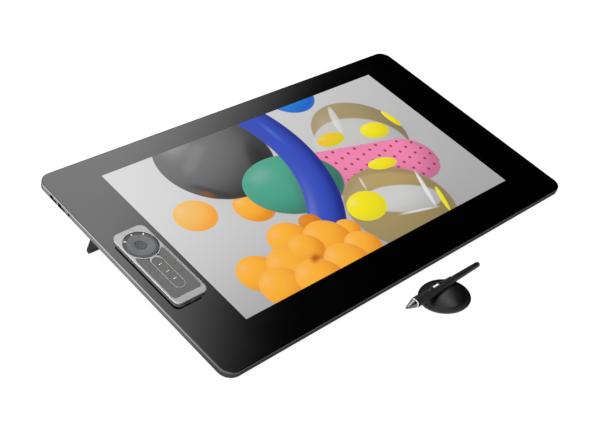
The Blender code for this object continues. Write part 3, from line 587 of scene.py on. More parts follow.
def lit_colour(tree, source, u, v, squared):
    """The colour of a round body at (u, v), lit from the Light input."""
    rise = maths(tree, "MAXIMUM", maths(tree, "SUBTRACT", 1.0, squared), 0.0)
    rise = maths(tree, "SQRT", rise)
    normal = add(tree, "ShaderNodeCombineXYZ")
    for socket, value in zip(normal.inputs, (u, v, rise)):
        feed(tree, socket, value)
    facing = vector_maths(tree, "DOT_PRODUCT", normal.outputs[0], source["Light"])
    lit = ramp_between(tree, facing, -0.35, 0.95, smooth=True)
    body = mix_colours(tree, lit, source["Shade"], source["Colour"])
    shine = maths(tree, "POWER", maths(tree, "MAXIMUM", facing, 0.0), SHINE_POWER)
    rim = maths(tree, "POWER", maths(tree, "SUBTRACT", 1.0, rise, clamp=True), RIM_POWER)
    shine, rim = times(tree, shine, source["Shine"]), times(tree, rim, RIM_SHARE)
    return mix_colours(tree, maths(tree, "ADD", shine, rim, clamp=True), body, (1.0, 1.0, 1.0, 1.0))


def finish_shape(tree, source, sink, mask, u, v, squared):
    """Draws the lit colour where the mask is."""
    mask = times(tree, mask, source["Cover"])
    colour = lit_colour(tree, source, u, v, squared)
    feed(tree, sink["Colour"], mix_colours(tree, mask, source["Under"], colour))
    feed(tree, sink["Mask"], mask)
    return tree


def round_group():
    """A ball, an egg or a capsule drawn over what is under it."""
    tree, source, sink = open_group("round_body")
    turn = add(tree, "ShaderNodeVectorRotate", rotation_type="Z_AXIS")
    offset = vector_maths(tree, "SUBTRACT", source["Place"], source["Centre"])
    feed(tree, turn.inputs["Vector"], offset)
    feed(tree, turn.inputs["Angle"], times(tree, source["Angle"], -1.0))
    place = split(tree, turn.outputs[0])
    half = split(tree, source["Half"])
    past = maths(tree, "SUBTRACT", maths(tree, "ABSOLUTE", place[0]), source["Straight"])
    past = times(tree, maths(tree, "MAXIMUM", past, 0.0), maths(tree, "SIGN", place[0]))
    u, v = maths(tree, "DIVIDE", past, half[0]), maths(tree, "DIVIDE", place[1], half[1])
    squared = maths(tree, "ADD", times(tree, u, u), times(tree, v, v))
    inner = maths(tree, "SUBTRACT", 1.0, source["Edge"])
    mask = ramp_between(tree, maths(tree, "SQRT", squared), inner, 1.0, 1.0, 0.0, smooth=True)
    return finish_shape(tree, source, sink, mask, u, v, squared)


def band_group():
    """Part of a round band, such as a big hoop: Half is (radius, half width), Straight the cut."""
    tree, source, sink = open_group("hoop_band")
    offset = vector_maths(tree, "SUBTRACT", source["Place"], source["Centre"])
    place = split(tree, offset)
    half = split(tree, source["Half"])
    length = vector_maths(tree, "LENGTH", offset)
    across = maths(tree, "DIVIDE", maths(tree, "SUBTRACT", length, half[0]), half[1])
    u, v = [times(tree, across, maths(tree, "DIVIDE", part, length)) for part in place[:2]]
    inner = maths(tree, "SUBTRACT", 1.0, source["Edge"])
    mask = ramp_between(tree, maths(tree, "ABSOLUTE", across), inner, 1.0, 1.0, 0.0, smooth=True)
    cut_end = maths(tree, "ADD", source["Straight"], 1.0)
    mask = times(tree, mask, ramp_between(tree, place[0], source["Straight"], cut_end))
    return finish_shape(tree, source, sink, mask, u, v, times(tree, across, across))


def scaled(tree, vector, scale):
    """A vector times a number."""
    node = add(tree, "ShaderNodeVectorMath", operation="SCALE")
    tree.links.new(vector, node.inputs[0])
    node.inputs["Scale"].default_value = scale
    return node.outputs["Vector"]


class Painter:
    """Draws shapes over each other, from the back to the front."""

    def __init__(self, tree, place, ground):
        self.tree, self.place, self.colour = tree, place, ground
        self.groups = {"round": round_group(), "band": band_group()}

    def ball(
        self, centre, half, colour, shade,
        angle=0.0, straight=0.0, shine=0.5, cover=1.0, edge=0.02, kind="round",
    ):
        """One shape. Sizes in millimetres on the screen, angle in degrees."""
        node = add(self.tree, "ShaderNodeGroup")
        node.node_tree = self.groups[kind]
        turn = math.radians(angle)
        light = Matrix.Rotation(-turn, 3, "Z") @ LIGHT
        values = (
            self.colour, self.place, (*centre, 0.0), turn, straight, (*half, 1.0), tuple(light),
            (*colour, 1.0), (*shade, 1.0), shine, cover, edge,
        )
        for (label, _), value in zip(SHAPE_INPUTS, values):
            feed(self.tree, node.inputs[label], value)
        self.colour = node.outputs["Colour"]
        # The next shape waits for this one, so that few values are kept at a time.
        wait = scaled(self.tree, self.colour, CHAIN_SCALE)
        self.place = vector_maths(self.tree, "ADD", self.place, wait)
        return node.outputs["Mask"]

    def shadow(self, centre, half, depth, angle=0.0):
        """A soft dark patch."""
        self.ball(centre, half, grey(0.08), grey(0.08), angle, 0.0, 0.0, depth, 0.95)


BLUE = (0.045, 0.085, 0.50)
SKY = (0.03, 0.25, 0.76)
GREEN = (0.075, 0.37, 0.255)
PINK = (0.86, 0.235, 0.43)
YELLOW = (0.88, 0.76, 0.018)
AMBER = (0.93, 0.30, 0.018)
PEACH = (0.95, 0.44, 0.045)
COAL = (0.175, 0.175, 0.18)
STRAW = (0.36, 0.27, 0.11)


def darker(colour, share):
    """A colour times a share."""
    return tuple(part * share for part in colour)


def paint_back(art):
    """The dark ball, the small balls, the upper clear dome and the dotted capsule."""
    art.shadow((-96.0, 70.0), (118.0, 118.0), 0.18)
    art.ball((-119.0, 0.0), (30.0, 30.0), PEACH, darker(AMBER, 0.8), shine=0.12)
    art.ball((-101.0, 106.0), (88.0, 88.0), COAL, grey(0.022), shine=0.2, edge=0.012)
    art.ball((-128.0, 116.0), (34.0, 16.0), grey(0.3), grey(0.2), 35.0, 14.0, 0.0, 0.35, 0.8)
    art.ball((-50.0, 70.0), (20.0, 60.0), grey(0.02), grey(0.015), -24.0, 0.0, 0.0, 0.6, 0.7)
    art.ball((-150.0, 50.0), (34.0, 10.0), grey(0.03), grey(0.02), -52.0, 10.0, 0.0, 0.5, 0.8)
    glow = darker(AMBER, 0.3)
    art.ball((-158.0, 48.0), (7.0, 18.0), glow, darker(AMBER, 0.1), 32.0, 0.0, 0.0, 0.7, 0.6)
    art.ball((-200.0, 25.0), (31.0, 29.0), (0.90, 0.52, 0.14), (0.90, 0.36, 0.04), shine=0.12)
    art.ball((96.0, 167.0), (44.0, 44.0), SKY, (0.012, 0.12, 0.52), shine=0.25)
    art.shadow((150.0, 36.0), (96.0, 84.0), 0.14)
    art.ball((135.0, 42.0), (78.0, 77.0), STRAW, darker(STRAW, 0.55), 0.0, 0.0, 0.1, 0.9, 0.02)
    art.ball((118.0, 20.0), (80.0, 66.0), grey(0.60), grey(0.46), -16.0, 0.0, 0.0, 0.85, 0.05)
    art.ball((122.0, 84.0), (38.0, 7.5), grey(0.74), grey(0.62), 64.0, 0.0, 0.0, 0.7, 0.3)
    art.ball((209.0, 46.0), (6.0, 21.0), YELLOW, darker(YELLOW, 0.8), 4.0, 0.0, 0.1)
    art.ball((82.0, 54.0), (26.0, 14.0), (0.85, 0.56, 0.03), darker(YELLOW, 0.75), 0.0, 0.0, 0.1)
    art.shadow((110.0, -24.0), (112.0, 60.0), 0.15, -15.0)
    mask = art.ball((91.0, -19.0), (47.5, 47.5), PINK, darker(PINK, 0.62), -14.5, 73.0, 0.05)
    paint_dots(art, mask)
    art.ball((162.0, 38.0), (26.0, 18.0), YELLOW, darker(YELLOW, 0.8), -8.0, 0.0, 0.1)


def paint_dots(art, mask):
    """A regular grid of small dots where the mask is."""
    tree = art.tree
    turn = add(tree, "ShaderNodeVectorRotate", rotation_type="Z_AXIS")
    feed(tree, turn.inputs["Vector"], art.place)
    turn.inputs["Angle"].default_value = math.radians(-12.0)
    cells = [maths(tree, "PINGPONG", part, DOT_SPACING) for part in split(tree, turn.outputs[0])[:2]]
    across, along = [maths(tree, "POWER", cell, 2.0) for cell in cells]
    far = maths(tree, "SQRT", maths(tree, "ADD", across, along))
    dots = times(tree, ramp_between(tree, far, *DOT_EDGE, 1.0, 0.0), mask)
    art.colour = mix_colours(tree, times(tree, dots, 0.85), art.colour, DOT_COLOUR)


def paint_middle(art):
    """The green egg with the blue hoop over it."""
    art.shadow((-30.0, -2.0), (90.0, 66.0), 0.25)
    art.ball((-37.0, 8.0), (79.0, 60.0), GREEN, darker(GREEN, 0.42), -8.0, shine=0.1)
    art.shadow((-22.0, -8.0), (34.0, 92.0), 0.5, -28.0)
    art.ball(
        (-216.0, 85.0), (229.0, 28.0), BLUE, (0.010, 0.018, 0.21), 0.0, 150.0, 0.12,
        edge=0.04, kind="band",
    )
    art.ball((12.0, 104.0), (7.0, 46.0), (0.10, 0.17, 0.62), BLUE, 2.0, 0.0, 0.0, 0.6, 0.9)


def paint_front(art):
    """The lower clear dome with its discs, and the heap of amber balls."""
    art.shadow((84.0, -104.0), (98.0, 92.0), 0.2)
    art.ball((70.0, -104.0), (87.0, 84.0), STRAW, darker(STRAW, 0.7), 0.0, 0.0, 0.1, 0.95, 0.015)
    art.ball((96.0, -58.0), (62.0, 22.0), darker(STRAW, 1.35), STRAW, -24.0, 0.0, 0.0, 0.75, 0.3)
    art.ball((84.0, -94.0), (66.0, 30.0), grey(0.62), grey(0.44), -22.0, 0.0, 0.0, 0.95, 0.12)
    art.ball((131.0, -96.0), (46.0, 4.5), grey(0.85), grey(0.7), 66.0, 0.0, 0.0, 0.8, 0.4)
    art.ball((53.0, -42.0), (18.0, 2.6), grey(0.8), grey(0.7), 68.0, 0.0, 0.0, 0.6, 0.5)
    art.ball((86.0, -124.0), (44.0, 3.0), grey(0.9), grey(0.8), -15.0, 0.0, 0.0, 0.6, 0.6)
    art.ball((114.0, -24.0), (26.0, 12.0), YELLOW, darker(YELLOW, 0.85), -10.0, 0.0, 0.1)
    art.ball((24.0, -78.0), (35.0, 27.0), YELLOW, darker(YELLOW, 0.85), 12.0, 0.0, 0.1)
    art.ball((138.0, -124.0), (4.0, 26.0), YELLOW, darker(YELLOW, 0.85), -24.0, 0.0, 0.1)
    art.shadow((-114.0, -116.0), (132.0, 56.0), 0.25)
    art.ball((-72.0, -64.0), (18.0, 18.0), darker(AMBER, 0.8), darker(AMBER, 0.5), shine=0.05)
    heap = (
        (-196.0, -98.0, 32.0), (-119.0, -74.0, 34.0), (-34.0, -98.0, 19.0), (-72.0, -98.0, 36.0),
        (-150.0, -112.0, 37.0), (-110.0, -96.0, 26.0), (-184.0, -132.0, 34.0), (-38.0, -132.0, 28.0),
        (-78.0, -142.0, 34.0), (-132.0, -146.0, 36.0),
    )
    for x, y, radius in heap:
        art.ball((x, y), (radius, radius), PEACH, darker(AMBER, 0.82), shine=0.08, edge=0.06)
    gap = (0.42, 0.07, 0.004)
    art.ball((-114.0, -116.0), (14.0, 9.0), gap, darker(AMBER, 0.5), 20.0, 0.0, 0.0, 0.85, 0.9)


def screen_ground(tree, place):
    """The grey behind the bodies: lighter at the left and at the back."""
    parts = split(tree, place)
    front = ramp_between(tree, parts[1], -147.0, 147.0, 1.0, 0.0)
    left = maths(tree, "SUBTRACT", 0.71, times(tree, times(tree, front, front), 0.305))
    right = ramp_between(tree, parts[1], -160.0, 150.0, 0.37, 0.54)
    across = ramp_between(tree, parts[0], -262.0, 262.0)
    level = maths(tree, "ADD", left, times(tree, across, maths(tree, "SUBTRACT", right, left)))
    ground = add(tree, "ShaderNodeCombineColor")
    for socket in ground.inputs:
        tree.links.new(level, socket)
    return ground.outputs[0]


def screen_material():
    """The lit screen behind its glass: a plain composition of round bodies on grey."""
    mat = new_material("screen_picture", grey(0.0003), 0.16, Specular_IOR_Level=0.03)
    tree = mat.node_tree
    place = scaled(tree, add(tree, "ShaderNodeUVMap", uv_map="millimetres").outputs[0], 1000.0)
    art = Painter(tree, place, screen_ground(tree, place))
    paint_back(art)
    paint_middle(art)
    paint_front(art)
    tree.links.new(art.colour, shader_of(mat).inputs["Emission Color"])
    shader_of(mat).inputs["Emission Strength"].default_value = 1.0
    return mat


# --- the tablet -----------------------------------------------------------------------
def build_glass():
    """The cover glass, edge to edge, with the lit screen in it."""
    bm = bmesh.new()
    uv = bm.loops.layers.uv.new("millimetres")
    profile = [(0.2, -1.8, 0.0), (0.2, -0.24, 0.05), (1.15, 0.0, 0.5), (4.0, 0.0, 0.0)]
    outer = swept(bm, slab_outline, soften(profile), top=False)[-1]
    half_x, half_y = SCREEN_HALF
    corners = [(half_x, half_y), (-half_x, half_y), (-half_x, -half_y), (half_x, -half_y)]
    inner = [bm.verts.new((x * MM, y * MM, 0.0)) for x, y in corners]
    count = len(outer) // 4
    middles = [i * count + count // 2 for i in range(4)]
    for side in range(4):
        start, end = middles[side], middles[(side + 1) % 4]
        steps = (end - start) % len(outer)
        run = [outer[(start + step) % len(outer)] for step in range(steps + 1)]
        bm.faces.new([*run, inner[(side + 1) % 4], inner[side]])
    screen = bm.faces.new(inner)
    screen.material_index = 1
    for face in bm.faces:
        for loop in face.loops:
            loop[uv].uv = (loop.vert.co.x, loop.vert.co.y)
    obj = make("display_glass", bm, SLAB, ("glass", "screen"))
    weigh_normals(obj)
    join_frame(obj, "tablet", ["cover_glass"])


def slot_cutter(y, half_y, half_z, radius, depth):
    """A round-cornered bar that cuts the left side of the band."""
    bm = bmesh.new()
    points = rounded(half_y, half_z, radius, 5, (y, PORT_Z))
    rings = []
    for x in (-SLAB_HALF[0] - 3.0, -SLAB_HALF[0] + depth):
        rings.append([bm.verts.new((x * MM, a * MM, b * MM)) for a, b in points])
    bridge(bm, *rings)
    bm.faces.new(rings[0])
    bm.faces.new(rings[1])
    return make("cutter", bm, SLAB)


def build_band():
    """The metal band around the slab, with its openings."""
    bm = bmesh.new()
    profile = [
        (0.18, BAND_SHOULDER, 0.0), (0.18, -0.15, 0.02), (0.1, -0.2, 0.04),
        (0.0, BAND_SHOULDER, 1.0), (0.0, -6.3, 0.0), (0.0, BAND_BOTTOM, 2.2),
        (BAND_DEPTH, BAND_BOTTOM, 0.0), (BAND_DEPTH, BAND_SHOULDER, 0.0),
    ]
    swept(bm, slab_outline, soften(profile, closed=True, steps=5), closed=True)
    bm.normal_update()
    for face in bm.faces:
        if min(vert.co.z for vert in face.verts) > (BAND_SHOULDER - 0.05) * MM:
            face.material_index = 1
    band = make("edge_band", bm, SLAB, ("band", "chamfer"))
    cutters = []
    for y in USB_Y:
        cutters.append(slot_cutter(y, 7.0, 2.8, 0.9, PORT_BORE))
        cutters.append(slot_cutter(y, 7.3, 3.1, 1.2, PORT_LIP))
    cutters.append(slot_cutter(JACK_Y, 1.9, 1.9, 1.88, PORT_BORE))
    cutters.append(slot_cutter(JACK_Y, 2.4, 2.4, 2.38, PORT_LIP))
    low, high = (255.7, 170.0, PORT_Z - 1.9), (268.3, 190.0, PORT_Z + 1.9)
    cutters.append(block("power_window", low, high, SLAB))
    carve(band, cutters)
    weigh_normals(band)
    join_frame(band, "tablet", ["side_frame"])


def build_port_tongues():
    """The contact tongue in each flat socket."""
    for number, y in enumerate(USB_Y, 1):
        low, high = (-335.7, y - 6.3, -8.0), (-325.0, y + 2.7, -4.0)
        tongue = block(f"port_tongue_{number}", low, high, SLAB, ["tongue"])
        bevel(tongue, 0.25, 2)
        join_frame(tongue, "tablet")


def dress_nodes():
    """Materials, and small rounds on the edges, for the CAD nodes that stay."""
    by_slot = {
        "lcd_panel": "panel", "light_guide_plate": "panel", "backlight_tray": "steel",
        "pen_sensor_board": "board", "chassis_plate": "steel", "rear_cover": "cover",
        "main_board": "board", "heat_sink": "steel", "fan_plastic": "socket", "port_steel": "steel",
        "socket_plastic": "socket", "mount_steel": "mount", "foot_rubber": "rubber",
        "hinge_steel": "pin_steel", "leg_metal": "leg", "button_plastic": "button",
        "screw_steel": "screw", "remote_shell": "tub", "remote_silver": "silver",
        "remote_dial": "dial", "remote_key": "key", "battery_foil": "foil", "magnet_steel": "steel",
        "pen_rubber": "grip", "pen_gloss": "gloss", "pen_silver": "chrome",
        "pen_plastic": "barrel", "stand_plastic": "stand", "side_frame": "band",
        "cover_glass": "glass",
    }
    rounds = {
        "rear_cover": 0.8, "leg_left": 0.9, "leg_right": 0.9, "leg_pad_left": 0.5,
        "leg_pad_right": 0.5, "stand_mount_plate": 0.3, "power_button": 0.3,
        "front_foot_left": 0.5, "front_foot_right": 0.5, "connector_bank": 0.3, "bottom_key": 0.4,
    }
    for part in frame["record"]["subparts"]:
        name = part["node"]
        obj = frame["nodes"][name]
        obj.data.materials.clear()
        finish = by_slot[part["material_slot"]]
        if name.startswith("usb_port"):
            finish = "shell"
        if name == "audio_jack":
            finish = "jack"
        obj.data.materials.append(MATERIALS[finish])
        width = rounds.get(name, 0.1 if "_key_" in name else 0.0)
        if width:
            weld = obj.modifiers.new("weld", "WELD")
            weld.merge_threshold = 0.00001
            bevel(obj, width, 3)
            weigh_normals(obj)


# --- the remote -----------------------------------------------------------------------
def remote_outline(inset):
    """The remote's outline, drawn in by inset."""
    radius = max(9.5 - inset * 0.8, 0.8)
    return rounded(REMOTE_HALF[0] - inset, REMOTE_HALF[1] - inset, radius, 12, REMOTE_SHIFT)


def prism(name, points, low, high, place):
    """A straight-sided solid with a flat outline."""
    bm = bmesh.new()
    rings = [ring_of(bm, points, low), ring_of(bm, points, high)]
    bridge(bm, *rings)
    bm.faces.new(rings[0])
    bm.faces.new(rings[1])
    return make(name, bm, place)


def drum(radius, low, high):
    """A straight-sided round solid at the dial."""
    return prism("drum", circle(radius, 96), low, high, DIAL)


def build_remote_tub():
    """The dark tub under the silver frame, with its charging slot, and the pad under it."""
    bm = bmesh.new()
    profile = [
        (9.0, 1.6, 0.0), (4.2, 1.6, 0.3), (0.5, 4.9, 1.2), (0.35, TUB_TOP, 0.3),
        (3.0, TUB_TOP, 0.0),
    ]
    swept(bm, remote_outline, soften(profile))
    tub = make("remote_tub", bm, REMOTE, ["tub"])
    slot = block("slot", (-4.0, -69.0, 6.6), (4.0, -61.5, 9.2), REMOTE)
    carve(tub, [slot, drum(23.3, 8.9, 10.0)])
    weigh_normals(tub)
    join_frame(tub, "remote", ["remote_base"])
    bm = bmesh.new()
    profile = [(9.0, 0.3, 0.0), (3.6, 0.3, 0.2), (3.2, 2.4, 0.0), (9.0, 2.4, 0.0)]
    swept(bm, remote_outline, soften(profile, steps=3))
    pad = make("remote_base_pad", bm, REMOTE, ["rubber"])
    join_frame(pad, "remote")


def around_keys(half_x, half_y, radius, steps, low):
    """A cutter for the keys beside the pill, which leaves the dial's ring and the pill."""
    space = prism("space", rounded(half_x, half_y, radius, steps, PANEL_MIDDLE), low, 16.0, REMOTE)
    carve(space, [drum(DIAL_GUARD, *CUT), prism("pill", rounded(*PILL_OUTER), *CUT, REMOTE)])
    return space


def build_remote_top():
    """The silver frame with its round hole, its key space and its pill."""
    bm = bmesh.new()
    profile = [(0.3, 9.7, 0.0), (0.0, 10.6, 0.4), (0.0, FRAME_TOP, 0.9), (2.0, FRAME_TOP, 0.0)]
    swept(bm, remote_outline, soften(profile, steps=6))
    top = make("remote_top", bm, REMOTE, ["silver"])
    space = around_keys(21.8, 38.5, 4.5, 8, 8.0)
    ledge = around_keys(22.7, 39.4, 5.2, 10, LEDGE)
    pill = prism("pill", rounded(*PILL_INNER), *CUT, REMOTE)
    carve(top, [drum(DIAL_HOLE, *CUT), ledge, space, pill])
    bevel(top, 0.22, 3, 50.0)
    weigh_normals(top)
    join_frame(top, "remote", ["remote_frame"])


def build_touch_ring():
    """The touch ring with its dark rim, its dish and its ticks, three of them white as painted LED glow."""
    bm = bmesh.new()
    rim = [
        (21.0, 9.5, 0.0), (21.7, 10.8, 0.0), (21.7, 12.2, 0.4), (18.7, 12.4, 0.15),
        (DISH_EDGE, DISH_STEP, 0.1),
    ]
    lathe(bm, soften(rim), 128)
    dish = [
        (DISH_EDGE, DISH_STEP, 0.0), (18.1, 12.35, 0.25), (12.0, 12.05, 3.0), (7.6, 11.85, 0.25),
        (7.5, 9.5, 0.0),
    ]
    lathe(bm, soften(dish), 128, index=1)
    bmesh.ops.remove_doubles(bm, verts=bm.verts, dist=0.000002)
    ring = make("touch_ring", bm, DIAL, ("dial_dark", "dial"))
    join_frame(ring, "remote", ["remote_touch_ring"])
    for number in range(8):
        # Ticks 2 to 4 are white: painted glow standing in for lit LEDs, and they give no light. The others are
        # faint marks.
        half, finish = (0.65, "mark") if number in (1, 2, 3) else (0.25, "faint_mark")
        low, high = (18.3, -half, 12.0), (21.4, half, FRAME_TOP)
        place = DIAL @ Matrix.Rotation(math.radians(45.0 * number), 4, "Z")
        mark = block(f"ring_mark_{number + 1}", low, high, place, [finish])
        bevel(mark, 0.1, 2)
        join_frame(mark, "remote")


def build_center_button():
    """The dished round button."""
    bm = bmesh.new()
    profile = [(7.1, 9.6, 0.0), (7.1, 11.8, 0.4), (3.5, 11.25, 2.5), (0.0, 11.15, 0.0)]
    lathe(bm, soften(profile, steps=5))
    button = make("center_button_cap", bm, DIAL, ["dial_button"])
    join_frame(button, "center_button", ["remote_center_button"])


def build_pill_marks():
    """Three raised bars between the pill's keys, each on the key above it."""
    for number, y in enumerate(PILL_MARK_Y, 1):
        low, high = (-2.6, y + 0.25, 12.1), (2.6, y + 1.0, FRAME_TOP)
        mark = block(f"pill_mark_{number}", low, high, REMOTE, ["mark"])
        bevel(mark, 0.15, 2)
        join_frame(mark, f"pill_key_{number}")


# --- the pen --------------------------------------------------------------------------
def pen_turned(name, body, node, profile, mat, segments=96):
    """A turned piece along the pen: profile is (place, radius, rounding)."""
    bm = bmesh.new()
    points = [(radius, spot) for spot, radius in soften(profile, steps=5)]
    lathe(bm, points, segments)
    return join_frame(make(name, bm, PEN @ ALONG_X, [mat]), body, [node])


def build_pen():
    """The pen's fine surfaces, from the nib to the tail."""
    nib = [(0.0, 0.0, 0.0), (0.0, 0.62, 0.5), (2.6, 0.75, 0.0), (12.0, 0.75, 0.0), (12.0, 0.0, 0.0)]
    pen_turned("pen_nib_tip", "pen_tip", "pen_nib", nib, "nib", 32)
    cone = [
        (3.4, 0.9, 0.0), (2.4, 0.95, 0.0), (2.4, 1.7, 0.4), (9.0, 3.85, 6.0), (15.9, 5.9, 0.3),
        (15.9, 3.9, 0.0),
    ]
    pen_turned("pen_cone_shell", "pen", "pen_cone", cone, "cone")
    ring = [
        (16.2, 4.5, 0.0), (16.2, 6.05, 0.2), (16.9, 6.5, 0.6), (18.3, 6.3, 0.2), (18.3, 4.5, 0.0),
    ]
    pen_turned("pen_silver_ring", "pen", "pen_ring", ring, "chrome")
    sleeve = [
        (18.6, 4.4, 0.0), (18.6, 6.7, 0.7), (21.0, 7.0, 2.0), (27.0, 7.0, 4.0), (42.0, 6.6, 8.0),
        (68.0, 6.0, 8.0), (90.0, 5.5, 5.0), (95.2, 5.35, 0.6), (96.0, 4.9, 0.2), (96.0, 3.8, 0.0),
    ]
    grip = pen_turned("pen_grip_sleeve", "pen", "pen_grip", sleeve, "grip")
    room = rounded(SWITCH_HALF + 0.35, SWITCH_WIDTH + 0.35, 2.6, 8, (SWITCH_X, 0.0))
    carve(grip, [prism("room", room, 4.3, 9.0, PEN)])
    barrel = [
        (96.3, 3.4, 0.0), (96.3, 4.7, 0.3), (98.0, 4.6, 0.5), (98.4, 4.45, 0.1), (98.8, 4.55, 0.2),
        (122.0, 4.25, 6.0), (148.25, 3.85, 0.25), (148.25, 2.4, 0.0),
    ]
    pen_turned("pen_barrel_shell", "pen", "pen_barrel", barrel, "barrel")
    cap = [
        (148.9, 0.0, 0.0), (148.9, 3.82, 0.25), (152.4, 3.65, 1.2), (154.9, 2.6, 1.6),
        (155.5, 0.0, 0.0),
    ]
    pen_turned("pen_tail_cap", "tail_button", "pen_tail_button", cap, "barrel", 64)


def switch_row(bm, x):
    """The rocker's outline across the pen at x: round ends, and a waist in its middle."""
    end = min(x - SWITCH_X, SWITCH_X - x) + SWITCH_HALF
    half = SWITCH_WIDTH
    if end < SWITCH_WIDTH:
        half *= math.sqrt(max(0.0, 1.0 - (1.0 - end / SWITCH_WIDTH) ** 2))
    half = max(half, 0.25)
    waist = 0.35 * math.exp(-((x - SWITCH_X) / 2.2) ** 2)
    low = SWITCH_CREST - waist - 0.25 * ((x - SWITCH_X) / SWITCH_HALF) ** 2 - 0.75
    row = [(-half, 5.0), (-half, low)]
    for step in range(1, 8):
        angle = math.pi * step / 8
        row.append((-half * math.cos(angle), low + 0.75 * math.sin(angle)))
    row += [(half, low), (half, 5.0)]
    return [bm.verts.new((x * MM, y * MM, z * MM)) for y, z in row]


def build_side_switch():
    """The rocker, with a pale piece in its middle that is a painted highlight."""
    bm = bmesh.new()
    steps = 48
    rows = [switch_row(bm, SWITCH_X - SWITCH_HALF + 30.0 * i / steps) for i in range(steps + 1)]
    for first, second in zip(rows, rows[1:]):
        bridge(bm, first, second)
    bm.faces.new(rows[0])
    bm.faces.new(rows[-1])
    switch = make("side_switch_cap", bm, PEN, ["gloss"], 45.0)
    join_frame(switch, "side_switch", ["pen_side_switch"])
    # The pale piece on the crest is a painted highlight: it stands for light glinting on the glossy black rocker.
    bm = bmesh.new()
    profile = [(0.0, 5.6, 0.0), (0.0, 6.75, 0.2), (0.7, 7.1, 0.3), (1.2, 7.12, 0.0)]

    def outline(inset):
        return rounded(5.6 - inset, 1.6 - inset, 0.9 - inset * 0.5, 8, (SWITCH_X, 0.0))

    swept(bm, outline, soften(profile, steps=3))
    inlay = make("side_switch_inlay", bm, PEN, ["inlay"])
    join_frame(inlay, "side_switch")


# --- the pen stand --------------------------------------------------------------------
def build_stand():
    """The dome with its groove, and the base rim."""
    bm = bmesh.new()
    profile = [(0.0, DOME_FOOT + DOME_RISE)]
    for step in range(1, 41):
        angle = math.radians(90.0 * step / 40)
        profile.append((DOME_RADIUS * math.sin(angle), DOME_FOOT + DOME_RISE * math.cos(angle)))
    profile += [(DOME_RADIUS - 2.0, DOME_FOOT), (0.0, DOME_FOOT)]
    lathe(bm, profile, 160)
    dome = make("stand_dome", bm, STAND, ["stand"], 40.0)
    groove = bmesh.new()
    radii = [
        (18.6, 0.0, 0.0), (18.6, 7.05, 0.5), (21.0, GROOVE_HALF, 2.0), (27.0, GROOVE_HALF, 4.0),
        (42.0, 7.05, 8.0), (68.0, 6.45, 8.0), (90.0, 5.95, 6.0), (GROOVE_END, 5.65, 0.0),
        (GROOVE_END, 0.0, 0.0),
    ]
    lathe(groove, [(radius, spot) for spot, radius in soften(radii, steps=6)])
    trench = make("groove", groove, PEN @ ALONG_X)
    mouth = block("mouth", (30.0, -GROOVE_HALF, 0.0), (GROOVE_END, GROOVE_HALF, 12.0), PEN)
    carve(dome, [trench, mouth], sharp=40.0)
    join_frame(dome, "pen_stand_top", ["stand_lid"])
    bm = bmesh.new()
    rim = [(0.0, 4.5, 0.0), (33.8, 4.5, 0.4), (33.0, 1.8, 0.6), (0.0, 1.8, 0.0)]
    lathe(bm, soften(rim), 128)
    base = make("stand_rim", bm, STAND, ["stand_dark"], 40.0)
    join_frame(base, "pen_stand_base", ["stand_base"])


# --- camera, floor and light ----------------------------------------------------------
def build_camera():
    """The camera, in front of the left corner and above it."""
    data = bpy.data.cameras.new("camera")
    data.sensor_width = 36.0
    data.lens = 63.44
    data.clip_start = 0.02
    data.clip_end = 100.0
    obj = bpy.data.objects.new("camera", data)
    bpy.context.scene.collection.objects.link(obj)
    forward = Vector((0.6189, 0.62409, -0.47693)).normalized()
    right = forward.cross(Vector((0.0, 0.0, 1.0))).normalized()
    matrix = Matrix((right, right.cross(forward), -forward)).transposed().to_4x4()
    matrix.translation = (-0.9526, -0.8742, 0.7403)
    obj.matrix_world = matrix
    bpy.context.scene.camera = obj


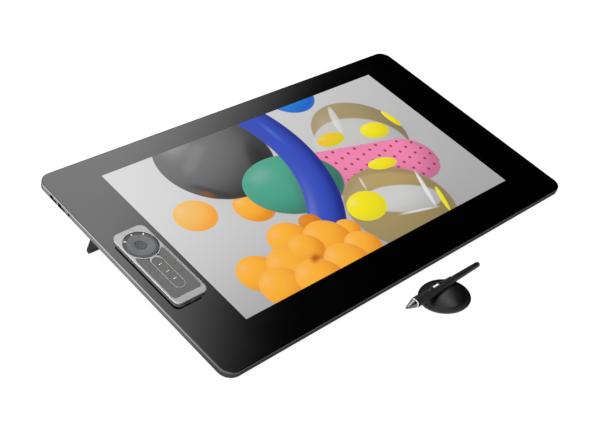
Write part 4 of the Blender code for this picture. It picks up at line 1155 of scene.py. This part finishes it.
def build_floor():
    """A wide, pale light table, brighter on the left."""
    bm = bmesh.new()
    bmesh.ops.create_grid(bm, x_segments=1, y_segments=1, size=14.0)
    mat = new_material("pale_floor", grey(0.14), 0.9, Specular_IOR_Level=0.1)
    vary_colour(mat, grey(0.135), grey(0.145), 3.0)
    tree = mat.node_tree
    place = split(tree, add(tree, "ShaderNodeTexCoord").outputs["Object"])
    glow = ramp_between(tree, place[0], -0.345, -0.415, 0.93, 6.6, smooth=True)
    shader_of(mat).inputs["Emission Color"].default_value = (1.0, 1.0, 1.0, 1.0)
    tree.links.new(glow, shader_of(mat).inputs["Emission Strength"])
    MATERIALS["floor"] = mat
    floor = make("floor", bm, Matrix.Translation((0.0, 0.0, -0.0002)), ["floor"], flip=False)


def build_sky():
    """A soft studio sky: a big light at the back, pale at the horizon, dark at the right."""
    world = bpy.data.worlds.new("studio")
    bpy.context.scene.world = world
    world.use_nodes = True
    tree = world.node_tree
    direction = add(tree, "ShaderNodeTexCoord").outputs["Generated"]
    side = vector_maths(tree, "DOT_PRODUCT", direction, (-0.8745, 0.4, -0.2745))
    height = split(tree, direction)[2]
    key = ramp_between(tree, side, -0.6562, -0.5054, 0.0, 3.484, smooth=True)
    key = times(tree, key, ramp_between(tree, side, -0.36, -0.1, 1.0, 0.25, smooth=True))
    key = times(tree, key, ramp_between(tree, height, 0.52, 0.66, smooth=True))
    low = ramp_between(tree, height, 0.08, 0.34, 0.9, 0.0, smooth=True)
    left = ramp_between(tree, side, -0.45, 0.1, 0.0, 1.25, smooth=True)
    left = times(tree, left, ramp_between(tree, height, 0.0, 0.3))
    strength = maths(tree, "MAXIMUM", maths(tree, "MAXIMUM", key, low), left)
    tree.links.new(strength, tree.nodes["Background"].inputs["Strength"])
    tree.nodes["Background"].inputs["Color"].default_value = (1.0, 1.0, 1.0, 1.0)


def soften_reflections():
    """The etched glass gives back no clear image of the remote, only of the pad under it."""
    starts = ("remote_", "left_key", "right_key", "pill_key", "bottom_key")
    names = [node for node in frame["nodes"] if node.startswith(starts)]
    pieces = ["remote_tub", "remote_top", "touch_ring", "center_button_cap"]
    pieces += [f"ring_mark_{number}" for number in range(1, 9)]
    pieces += [f"pill_mark_{number}" for number in range(1, 4)]
    for name in names + pieces:
        bpy.data.objects[name].visible_glossy = False


def main():
    """Builds the whole scene."""
    build_camera()
    build_materials()
    dress_nodes()
    build_glass()
    build_band()
    build_port_tongues()
    build_remote_tub()
    build_remote_top()
    build_touch_ring()
    build_center_button()
    build_pill_marks()
    build_pen()
    build_side_switch()
    build_stand()
    build_floor()
    build_sky()
    soften_reflections()
    bpy.context.scene.view_settings.view_transform = "Standard"
    bpy.context.scene.view_settings.look = "None"


main()
